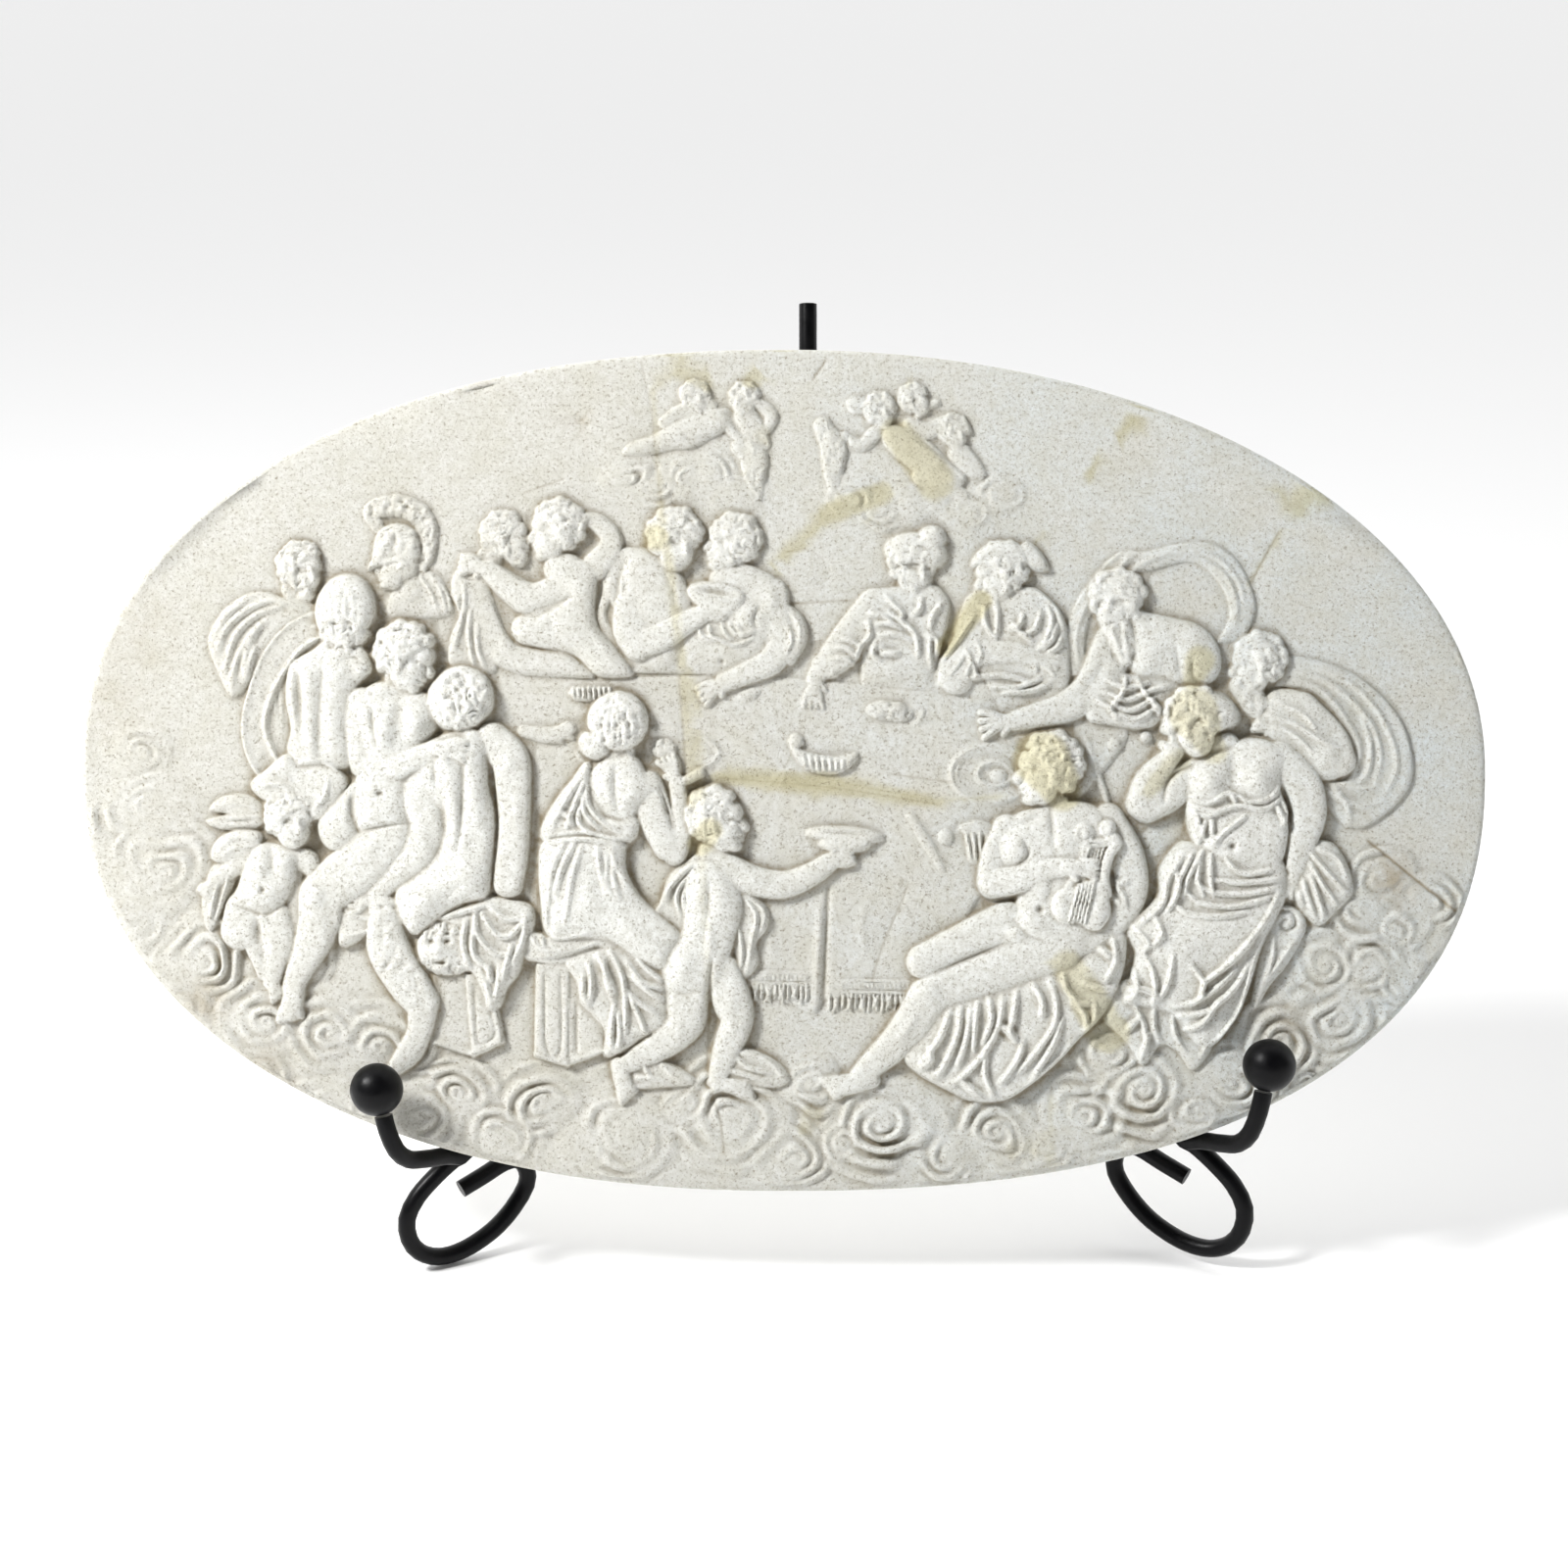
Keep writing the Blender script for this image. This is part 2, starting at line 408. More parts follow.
def goatLeggedMan(r):
    r.figure(3.0, 0.36)
    r.sheet([(-97, 10), (-103, 5), (-107, -1), (-106, -8), (-100, -10), (-97, -16), (-99, -24),
             (-105, -30), (-110, -34), (-110, -40), (-107, -45), (-104, -46.5), (-97, -41.5), (-91, -38),
             (-84.5, -36), (-82.8, -28), (-82, -20), (-82, -12), (-84, -4), (-84, 6), (-88, 12)], 0, 3.6,
            8)
    r.limb([(-83, 8, 5.2), (-78, 3, 5.2), (-77, -6, 4.6), (-77, -15, 4.4), (-77.5, -24, 4.4),
            (-78.5, -32, 4)])
    r.limb([(-103, 0, 4.8, 0.4), (-103.5, -8, 5.2, 0.7), (-101, -15, 5, 0.8), (-103.5, -23, 4.8, 0.6),
            (-110, -29.5, 3.8, 0.2), (-116, -35.5, 2.5)], 0.5)
    r.hand(-117, -37, 190, 7, 60, -25, 0.8, 0.2)
    r.muscles((-97, 3, 3, 3.6, 20, 0.6), (-88.5, 4, 3.2, 3.6, -20, 0.6), (-94, -8, 1.8, 8, 6, 0.6),
              (-87, -9, 1.8, 8, 3, 0.5), (-84, -6, 1, 6, 0, -0.3), (-88, -20, 3, 4, 0, -0.4),
              (-90, -31, 5, 4, 10, 0.8), (-102, -38, 4.5, 4, 40, 0.9), (-78, 2, 2.4, 3, 0, 0.5),
              (-76, -12, 1.4, 5, 0, 0.3), (-96.5, -13, 1.2, 5, 0, -0.5), (-99, -20, 2, 5, 15, -0.4))
    r.ridge([(-92, 11), (-91, 3), (-91, -6), (-91.5, -16), (-93, -24)], 0.9, -1.1)
    r.ridge([(-84.6, 4), (-82.6, -5), (-81.4, -14), (-82, -22), (-83.4, -29)], 0.9, -1.3, 0.4)
    r.ridge([(-96, -36.5), (-92, -33), (-88, -32)], 1.0, -0.5)
    r.ridge([(-97, 6), (-99, 1), (-98.5, -5)], 0.8, -0.6)
    r.limb([(-113.5, -40, 4.5), (-112.4, -50, 5.6), (-107.5, -59, 5.6), (-103, -65.5, 4.8)])
    r.limb([(-102.5, -66, 4.2), (-103.5, -74, 3.2), (-106.5, -80, 3.2), (-110, -84, 2)])
    r.ridge([(-110, -42), (-106, -51), (-100, -59), (-98.5, -65)], 0.8, -0.5)
    r.head(-92, 19, 8.8, -0.3, -8, 0.8, True, 0, True)
    r.blob(-92.5, 19.5, 8.6, 8.4, 0, 1.2, 3.2)
    r.done()
    r.figure(2.2, 0.3)
    r.sheet([(-125, -39), (-118, -38), (-114.5, -42), (-119, -47), (-126, -49.5)], 0, 0.8)
    r.done()


def nudesForearm(r):
    r.figure(5.0, 0.36)
    r.limb([(-119, 1.8, 4, -1.8), (-112, 0.6, 3.9, -0.3), (-105, 3, 3.4, 0.3), (-98.5, 5.8, 2.6, 0.8)],
           0.4)
    r.hand(-98, 6, 0, 8.5, 16, -20, 0.95, 1.2)
    r.done()


def wingedBoy(r):
    r.figure(1.4, 0.3)
    r.sheet([(-149, -9), (-154, -7), (-160, -8), (-163, -11), (-158, -12.5), (-164, -14.5), (-160, -16.5),
             (-152, -17), (-147, -14)], 0, 0.7, 3)
    r.sheet([(-149, -18), (-155, -17), (-161, -20), (-162.5, -25), (-157, -27), (-152, -26), (-149, -23)],
            0.6, 1.4, 4)
    r.sheet([(-162, -27), (-158, -27), (-156, -31), (-160, -40), (-163, -46), (-165, -42), (-165, -34)],
            0.1, 0.8)
    r.done()
    r.figure(2.2, 0.36)
    r.sheet([(-149, -21), (-153, -26), (-155, -33), (-157, -38), (-150, -41), (-143, -39), (-139, -33),
             (-138, -27), (-139, -22)], 0, 2.8, 6)
    r.limb([(-139, -25, 3.2), (-135.6, -26, 3), (-133, -30, 2)])
    r.limb([(-151, -25, 3.2), (-157, -28, 2.6), (-161.5, -31.5, 2)])
    r.hand(-162, -32, 225, 4.6, 40, 20, 0.7)
    r.limb([(-153, -40, 5.8), (-154.5, -45.5, 5.4)])
    r.limb([(-145, -42, 5), (-143.6, -49, 4.8), (-144.6, -55, 3.2), (-145.5, -60, 2.4)])
    r.limb([(-151, -48, 3), (-149, -54, 2), (-148, -58, 1.4)])
    r.foot((-145.6, -59), (-143.6, -65), 1.9, 0)
    r.muscles((-149, -28, 2.6, 2.6, 0, 0.8), (-141.5, -27, 2.6, 2.6, 0, 0.8),
              (-147.6, -34, 0.9, 0.9, 0, -0.8), (-147.5, -35, 5, 4, 0, 0.7),
              (-148, -41.5, 1, 1.6, 0, 0.5), (-145.3, -24, 1.2, 5, 10, -0.5))
    r.ridge([(-156, -38), (-151, -40), (-147, -41), (-142, -38.5)], 0.7, -0.9)
    r.ridge([(-149.5, -42), (-149, -49)], 0.8, -0.6)
    r.head(-140, -15, 7.6, 0.6, -12, 0.8)
    r.done()


def drapedSeat(r):
    r.figure(1.8, 0.3)
    r.sheet([(-100, -58), (-90.4, -58), (-88.4, -81), (-99.6, -77.6)], -0.6, 0.2, 1, smooth=False)
    r.sheet([(-90.4, -58), (-82, -58), (-81.6, -68), (-80, -77), (-88.4, -81)], 0.3, 0.2, 1, smooth=False)
    r.ridge([(-88, -61), (-87.6, -70), (-86.6, -77.6), (-82, -75), (-83.6, -68), (-84, -60)], 0.4, -0.6,
            0.1)
    for n in range(3):
        r.ridge([(-100, -77 - 1.3 * n), (-88.4, -80.8 - 1.3 * n), (-79.6 + 0.6 * n, -76.4 - 1.4 * n)],
                0.6, 0.9, 0.1)
    r.done()
    r.figure(2.6, 0.35)
    r.sheet([(-101, -44), (-97, -41), (-90, -38), (-84, -36), (-77, -37), (-71.5, -39.5), (-71.5, -46),
             (-74, -53), (-76, -58), (-79, -62), (-81, -67), (-84, -68), (-86, -62), (-89, -57),
             (-94, -58), (-100, -57), (-103, -50)], 0, 1.6, 4)
    r.blob(-98, -50.5, 6, 6.8, 0, 0.4, 2.4)
    r.muscles((-100, -48.5, 1, 0.8, 0, -1.0), (-95.5, -48.5, 1, 0.8, 0, -1.0),
              (-98, -51, 1.4, 1.6, 0, 0.7), (-98, -54.6, 2.6, 0.9, 0, -1.0))
    r.done()


def embracingPair(r):
    r.figure(0.9, 0.26)
    r.sheet([(-93, 57), (-88, 54), (-88, 47), (-86, 40), (-83, 33), (-82, 28), (-89, 27), (-95, 30),
             (-94.6, 38), (-92, 45), (-94.6, 50)], 0.2, 0.8)
    r.limb([(-87.6, 52, 3.4), (-86, 44, 4.4), (-83.4, 37, 4.6), (-80, 33.6, 4.2)])
    r.sheet([(-80, 46), (-76, 36), (-70, 34.6), (-62, 33.4), (-56, 29), (-54, 26.4), (-64, 26.6),
             (-73, 27), (-80, 29), (-84, 33), (-84, 40)], 0, 1.8, 4)
    r.ridge([(-79, 44), (-76.4, 38), (-72, 35.4), (-64, 33.4)], 0.7, -0.9)
    r.limb([(-84, 60, 3.6), (-86, 55, 3.2)])
    r.head(-78.6, 65.6, 7, 0.85, 5, 0.3, True, 0.42)
    r.done()
    r.figure(1.5, 0.3)
    r.sheet([(-67, 61), (-61, 61.6), (-56, 58), (-53.6, 53), (-54, 47), (-53, 41), (-48, 35), (-43.6, 29),
             (-44, 26.8), (-53, 27), (-60, 33), (-70, 35), (-76, 37), (-77, 42), (-72, 46), (-66, 50),
             (-68, 56)], 0, 2.8, 7)
    r.limb([(-53.6, 58, 4), (-51.6, 62, 3.6), (-52, 68, 3.2), (-55.6, 72, 2.4)])
    r.limb([(-58.6, 54.6, 5.2, 0.6), (-65, 50, 5, 0.9), (-71.6, 48.4, 4.4, 1), (-78, 52, 3.4, 1.1),
            (-84, 57, 2.6, 1)], 0.4)
    r.hand(-84.6, 57.4, 165, 7.6, 30, 25, 0.85, 1.2)
    r.hand(-56.6, 71.6, 215, 5.5, 30, 30, 0.7, 0.6)
    r.muscles((-61, 40, 6, 4, -20, 0.5), (-66, 42, 1, 4, 20, -0.3), (-57, 51, 3, 4, 30, 0.5),
              (-69, 46, 5, 1, 20, -0.5), (-52, 36, 1, 5, 35, 0.3))
    r.ridge([(-59, 50.4), (-65, 46.6), (-71, 43.6), (-76, 44.4)], 0.8, -1.0)
    r.ridge([(-54.6, 46), (-54.4, 42), (-50, 36.6)], 0.7, -0.4)
    r.head(-65, 67.6, 7.8, -0.85, 6, 0.8)
    r.done()
    r.figure(0.7, 0.3)
    r.limb([(-51, 59, 1.2), (-50, 51, 1.4), (-52, 44, 1.2), (-48, 36, 1.4)])
    r.done()


def pairWithCup(r):
    r.figure(1.0, 0.28)
    r.sheet([(-20, 57), (-13, 59), (-7, 57), (-2, 54), (0, 48), (-2, 40), (-5, 33), (-12, 25), (-22, 22),
             (-31, 22), (-31, 34), (-27, 42), (-24, 46)], 0, 2.4, 6)
    r.trim(tableEdge)
    r.muscles((-10.6, 43.6, 3.4, 3.4, 0, 1.0), (-19, 33, 5, 3, 0, 0.4), (-17.6, 31, 0.8, 0.7, 0, -0.6),
              (-3, 48, 2.6, 4, 0, 0.5))
    r.ridge([(-6.6, 47), (-8.6, 42.6), (-7.4, 39.6)], 0.7, -0.8)
    r.limb([(-3.4, 50, 4.4, 0.6), (-2.6, 43, 4.4, 1), (0.4, 37, 4.0, 1.2)], 0.5)
    r.limb([(0.4, 37, 4.0, 1.2), (-4, 31, 3.6, 1.4), (-10, 28, 3.0, 1.2), (-17, 25, 2.5, 0.8)], 0.4)
    r.hand(-17, 25, 208, 8, 30, 14, 0.9, 0.8)
    r.blob(-10, 21.6, 3.6, 1.9, 20, -0.4, 0.8)
    r.limb([(0.6, 46, 1.2, 0.8), (3.6, 42, 1.9, 1.2), (4, 37, 2, 1.4), (1.4, 32, 1.6, 1.2)], 0.3)
    r.head(-15, 64, 7.8, -0.8, -4, 0.6)
    r.done()
    r.figure(1.2, 0.26)
    r.sheet([(-45, 60), (-40, 62), (-34, 60), (-29, 55), (-26, 47), (-27, 40), (-29, 32), (-32, 22),
             (-44, 20), (-46, 34), (-47, 48)], 0, 2.2, 6)
    r.trim(tableEdge)
    r.muscles((-38, 46, 4, 4, 0, 0.5), (-33, 38, 2.4, 5, 0, 0.5), (-36, 31, 5, 3, 0, 0.4))
    r.ridge([(-34.6, 57), (-31.4, 51), (-31, 45)], 0.8, -0.5)
    r.limb([(-40, 61, 2), (-46, 60.6, 2.2), (-48, 57, 2.2), (-48.4, 51, 2), (-46.6, 47, 1.8)])
    r.done()
    r.figure(1.7, 0.3)
    r.limb([(-43.6, 47, 4.2, 0.8), (-43.6, 40, 4.6, 1.1), (-41.6, 35.6, 4.2, 1.2)])
    r.sheet([(-27.4, 51), (-24, 53), (-18, 52.8), (-12, 51), (-11, 49), (-12.6, 45.6), (-16, 43.4),
             (-20, 43.6), (-24, 46)], 1.4, 1.6, 3)
    r.limb([(-41.6, 36, 4.2, 1.3), (-35, 38, 3.9, 1.7), (-28.6, 41.6, 3.1, 2.1), (-23.6, 44, 2.5, 2.3)],
           0.3)
    r.hand(-24, 44, 12, 7.5, 30, 10, 0.85, 2.5)
    r.swell(-19.4, 50.6, 5.4, 1.2, -9, -1.6)
    r.ridge([(-27, 51), (-20, 49.2), (-11.4, 47.8)], 0.5, 0.8, 0.2)
    r.ridge([(-27, 51.2), (-22, 52.6), (-15, 51.8), (-10.8, 49)], 0.5, 0.6, 0.2)
    r.head(-31, 64.6, 8.2, 0.7, -25, 0.7)
    r.done()


def womanWithPiledHair(r):
    r.figure(1.0, 0.28)
    r.sheet([(24, 51), (31, 52), (40, 53), (44, 52), (47, 48), (46.6, 42), (45, 36), (43, 28), (42, 17),
             (30, 17), (23, 19), (22, 33), (20, 40), (20, 47)], 0, 2.2, 6)
    r.trim(tableEdge)
    r.limb([(26, 46.6, 5, 0.4), (20.6, 40, 4.8, 0.7), (16, 33.6, 4.8, 0.7), (12, 29.6, 3.4, 0.3)], 0.5)
    r.limb([(11, 30, 3), (9, 26, 2.4)])
    r.hand(9, 26, 262, 8.5, 30, 10, 0.9, 0.2)
    r.swell(30, 28.6, 3.4, 2.6, 0, 0.5)
    r.swell(26.6, 35, 2, 2, 0, 0.5)
    r.limb([(38, 54, 4), (38, 50, 4)])
    r.head(37, 58.6, 8, 0.45, -12, 0.6)
    r.blob(42.6, 65.6, 3.6, 3, 20, 1.0)
    r.ridge([(30, 62), (36, 64.6), (44, 61)], 0.6, -0.6, 0.2)
    r.done()


def manInCap(r):
    r.figure(1.1, 0.28)
    r.sheet([(53, 50), (60, 51.6), (70, 52), (76, 48), (80, 42), (81, 34), (81, 25), (78, 14), (62, 14),
             (50, 18), (44, 20), (41.6, 24), (44, 31), (48, 37), (50, 44)], 0, 2.0, 6)
    r.trim(tableEdge)
    r.limb([(49, 27, 5.2, 0.6), (52.6, 32, 4.4, 1.2), (55, 34, 3.8, 1.5)], 0.4)
    r.limb([(54, 33, 3.4, 1.7), (60, 33.6, 3.2, 1.9), (66, 33.6, 2.8, 2), (71, 32, 2.2, 2)], 0.3)
    r.hand(70, 32.4, -16, 8.5, 30, -12, 0.85, 2.1)
    r.head(62, 56, 7.8, 0.75, -8, 0.7, True, 0.5)
    r.limb([(56, 50, 2.2), (56.6, 45, 2), (57, 40, 1.2)])
    r.sheet([(54, 60.4), (57.6, 63.4), (62, 65), (67, 64), (71, 63), (74, 58.6), (73, 57), (70, 57.6),
             (68, 60), (62, 61.4), (57, 62)], 1.2, 1.0, 2)
    r.ridge([(55, 60.6), (61, 60.6), (67.6, 61.4)], 0.5, 0.6, 0.2)
    r.done()


def billowingCloak(r, outer, inner):
    r.figure(0.8, 0.3)
    outer, inner = curve(outer), curve(inner)
    r.sheet(np.vstack([outer, inner[::-1]]), 0, 0.5, 1.5, 0.3, False)
    r.ridge(outer, 0.8, 0.7, 0.15)
    r.ridge(inner, 0.8, 0.8, 0.15)
    r.done()


def leaningOldMan(r):
    billowingCloak(r, [(82, 27), (80, 36), (83, 47), (89, 56), (96, 62), (103, 62), (109, 63.6),
                       (115, 64.6), (122, 64.2), (128, 60.5), (132, 54), (134, 46), (131, 37)],
                   [(87, 27), (85.4, 35), (87, 44), (92, 51), (99, 56), (104, 57), (109, 58.6),
                    (115, 59.6), (120, 57.6), (124.6, 52.6), (127, 46), (126, 41), (123, 36)])
    r.figure(1.6, 0.3)
    r.sheet([(98, 46), (104, 44.6), (111, 43), (118, 41), (123, 36), (124, 29), (120, 24), (113, 24),
             (107, 26), (100, 27), (97, 34)], 0, 2.8, 7)
    r.muscles((107, 37, 5, 4, -10, 0.5), (116, 36, 4.4, 5, 0, 0.7), (104, 31, 3, 4, 0, 0.4),
              (112, 30, 1, 5, 10, -0.4))
    r.ridge([(119, 24), (116, 27), (116, 32)], 0.7, -0.9)
    r.sheet([(88, 24), (92, 28), (100, 27), (107, 27), (113, 24), (110, 20), (107, 14), (101, 12),
             (93, 13), (86, 15)], 0.2, 1.4, 4)
    r.limb([(94.5, 37, 5.6), (91.6, 30, 5.8), (87, 22.6, 5), (80, 18, 4.3, 0.2), (72, 15.6, 3.4, 0.3),
            (65.6, 14, 2.5, 0.4)])
    r.hand(65, 14, 184, 9.5, 46, 12, 0.9, 0.5)
    r.ridge([(92, 34), (89, 27), (84, 21)], 1.0, -0.4)
    r.head(94.5, 47, 8.4, -0.5, 8, 1.0)
    r.limb([(94, 41, 3.4, 0.8), (95.6, 35.6, 2.8, 0.8), (96, 31, 1.6, 0.6)], 0.4)
    r.done()


def farRightMan(r):
    billowingCloak(r, [(140, 33), (150, 31.5), (157, 29.5), (164, 26), (171, 20), (176, 13), (178.5, 4),
                       (178, -4), (172.6, -11), (165, -16), (160, -16)],
                   [(140, 24), (148, 23), (154, 19.6), (158, 14), (161, 7), (161.5, 1), (160, -3),
                    (152, -3.6), (152, -8)])
    r.figure(1.3, 0.3)
    r.sheet([(138, 22), (146, 22.6), (153, 18), (158.6, 10), (161, 3), (158, -2), (151, -2.6), (146, 2),
             (140, 9), (135, 15)], 0, 2.4, 6)
    r.muscles((150, 13, 4.6, 4, -40, 0.6), (154, 4, 4, 4, 0, 0.5))
    r.head(134.5, 30, 7.8, -0.6, 6, 0.4, True, 0.75)
    r.done()


def womanFromBehind(r):
    r.figure(1.4, 0.28)
    r.limb([(-74, 11, 1.6), (-66, 10, 2.2), (-61, 12, 1.8)])
    r.hand(-66, 9.5, 25, 6, 40, -15, 0.6)
    r.done()
    r.figure(1.8, 0.3)
    r.sheet([(-70, -55), (-61, -55), (-61.6, -83.6), (-70.5, -81)], 0.5, 0.2, 1, smooth=False)
    r.sheet([(-61, -55), (-52, -55), (-51.4, -80), (-61.6, -83.6)], 0, 0.2, 1, smooth=False)
    r.ridge([(-68, -58), (-67.6, -78.6), (-63.6, -79.8), (-63.4, -58)], 0.4, -0.6, 0.1)
    r.ridge([(-59, -66), (-59, -80)], 0.5, -0.8, 0.1)
    for n in range(3):
        r.ridge([(-71, -80.6 - 1.3 * n), (-61.8, -83.4 - 1.3 * n), (-50.8, -79.6 - 1.3 * n)], 0.6, 0.9,
                0.1)
    r.done()
    r.figure(2.2, 0.34)
    r.sheet([(-62, -54), (-52, -50), (-45, -50), (-38, -55), (-33, -59), (-33, -66), (-34, -73),
             (-40, -76), (-46, -80), (-51, -81), (-51, -74), (-55, -69), (-58, -66), (-59, -60)], 0, 1.8,
            4)
    r.done()
    r.figure(2.5, 0.34)
    r.sheet([(-68, -20), (-58, -17), (-46, -19), (-45, -28), (-41, -36), (-34, -42), (-29, -47),
             (-31, -53), (-34, -57), (-42, -54), (-49, -49), (-58, -48), (-67, -47), (-69, -36),
             (-69.5, -28)], 0.2, 3.6, 8)
    r.ridge([(-66, -36), (-66.5, -41), (-66, -46)], 0.8, -0.9)
    r.muscles((-56, -38, 5, 6, 0, 0.6), (-43, -46, 8, 3, -35, 0.6), (-50, -30, 3, 5, 0, -0.5))
    r.limb([(-72, -48.5, 2.6, 0.3), (-67, -50.5, 3, 0.4), (-61, -49, 2.4, 0.5), (-54, -48, 2, 0.6),
            (-49, -49, 1.6, 0.5)], 0.4)
    r.limb([(-72, -52, 1.8), (-64, -53, 2), (-55, -50.5, 1.4)], 0.4)
    r.sheet([(-55.5, 2), (-60, -3), (-64, -8), (-68, -15), (-68, -20), (-60, -19), (-52, -20), (-44, -20),
             (-41, -15), (-44, -12), (-50, -14), (-54, -8)], 0.8, 1.4, 3.5)
    r.limb([(-47, 6, 4.4), (-47, 1, 5)])
    r.sheet([(-51, 3), (-55, -1), (-55, -7), (-51, -13), (-44, -15), (-41, -11), (-38, -8), (-35, -5),
             (-39, -1), (-43, 4)], 0.4, 2.6, 6)
    r.muscles((-50, -4, 3, 5, 20, 0.5), (-43, -5, 3, 4, -20, 0.5))
    r.ridge([(-48, 2), (-48, -5), (-47, -12)], 0.9, -0.7)
    r.limb([(-39, -5, 4.6, 0.3), (-36.5, -13, 4.8, 0.3), (-33, -21.5, 3.8, 0.3)], 0.4)
    r.limb([(-31, -23.5, 3.3), (-28.7, -15, 3), (-29.6, -8, 2.4), (-30.6, -3, 2)], 0.4)
    r.ridge([(-35.4, -4), (-33.4, -10), (-31.4, -17)], 0.6, -1.4)
    r.hand(-30.5, -3, 110, 7.5, 34, 20, 0.75, 0.2)
    r.limb([(-29, -3.5, 0.9, 0.6), (-24, -0.8, 1, 0.6)], 0.1)
    r.head(-46.5, 12, 8.6, 0.5, 0, 1.0, True, 0, True)
    r.done()


def servingBoy(r):
    r.figure(1.8, 0.3)
    r.sheet([(-20, -23), (-28, -26), (-33, -31), (-35, -38), (-38, -41), (-33, -43), (-28, -46),
             (-24, -40)], 0.2, 1.2)
    r.sheet([(-14, -33), (-8, -36), (-4.5, -40), (-5, -45), (-8, -49), (-7.5, -55), (-11, -59),
             (-13, -56), (-15, -46)], 0, 1.0)
    r.sheet([(-14, -79), (-7, -80.5), (-1, -84), (1.5, -88), (-3, -90), (-12, -89), (-17, -86)], 0, 0.9)
    r.sheet([(-41, -82), (-36, -82), (-28, -86), (-25, -89), (-36, -90), (-44, -90), (-43, -85)], 0, 0.8)
    r.done()
    r.figure(2.6, 0.36)
    r.limb([(-20, -24, 4.2), (-19, -20, 4.2)])
    r.sheet([(-23, -25), (-28, -29), (-29, -37), (-29, -45), (-33, -51), (-35, -57), (-32, -64),
             (-24, -64), (-18, -60), (-14.5, -50), (-12, -41), (-12, -35), (-15, -30), (-18, -26)], 0,
            3.4, 8)
    r.limb([(-27, -58, 7.2), (-27.5, -66, 6), (-28.5, -72, 5), (-35, -78, 4), (-42, -82, 3),
            (-46, -84.5, 2.2)])
    r.foot((-47, -83.5), (-44, -93.2), 2.4, 0)
    r.limb([(-18, -57, 5.2), (-15, -65, 5.2), (-13.5, -71, 4.2), (-16, -79, 3.6), (-18.6, -87, 2.6)])
    r.foot((-20, -88.5), (-9, -90.6), 2.2, 0)
    r.limb([(-17, -28, 4.6, 0.3), (-9, -31.5, 4, 0.2), (0, -32.5, 3.5), (8, -29.5, 2.9), (13, -26, 2.4)])
    r.hand(12.5, -26, 12, 7.5, 20, 12, 0.8, 0.2)
    r.muscles((-18, -36, 3, 5, 0, 0.5), (-24, -36, 2.4, 6, 0, 0.4), (-29, -55, 4, 5, 10, 0.9),
              (-21, -48, 1.4, 8, 5, 0.3), (-15, -66, 2, 4, 0, 0.4), (-30, -74, 2.4, 2.4, 0, 0.4),
              (-14.5, -73, 2, 2, 0, 0.4), (-8, -31, 4, 1.4, 10, 0.3))
    r.ridge([(-21, -30), (-21.6, -40), (-23, -50)], 1.0, -0.6)
    r.ridge([(-20, -52), (-21, -59), (-21.4, -66), (-23, -73)], 0.8, -1.2)
    r.ridge([(-33, -62), (-28, -63.5), (-24, -62)], 0.9, -0.5)
    r.blob(17.4, -18.4, 8.8, 2.0, -4, 0.2, 0.6)
    r.blob(17.4, -20.6, 6.6, 2.8, 0, 0, 1.0)
    r.swell(17.4, -17.8, 6.8, 0.8, -4, -0.9)
    for n in range(9):
        r.ridge([(10.6 + 1.7 * n, -19), (12.6 + 1.2 * n, -22.6)], 0.35, 0.4)
    r.head(-18.8, -15, 8.4, 0.85, 0, 1.0)
    r.done()


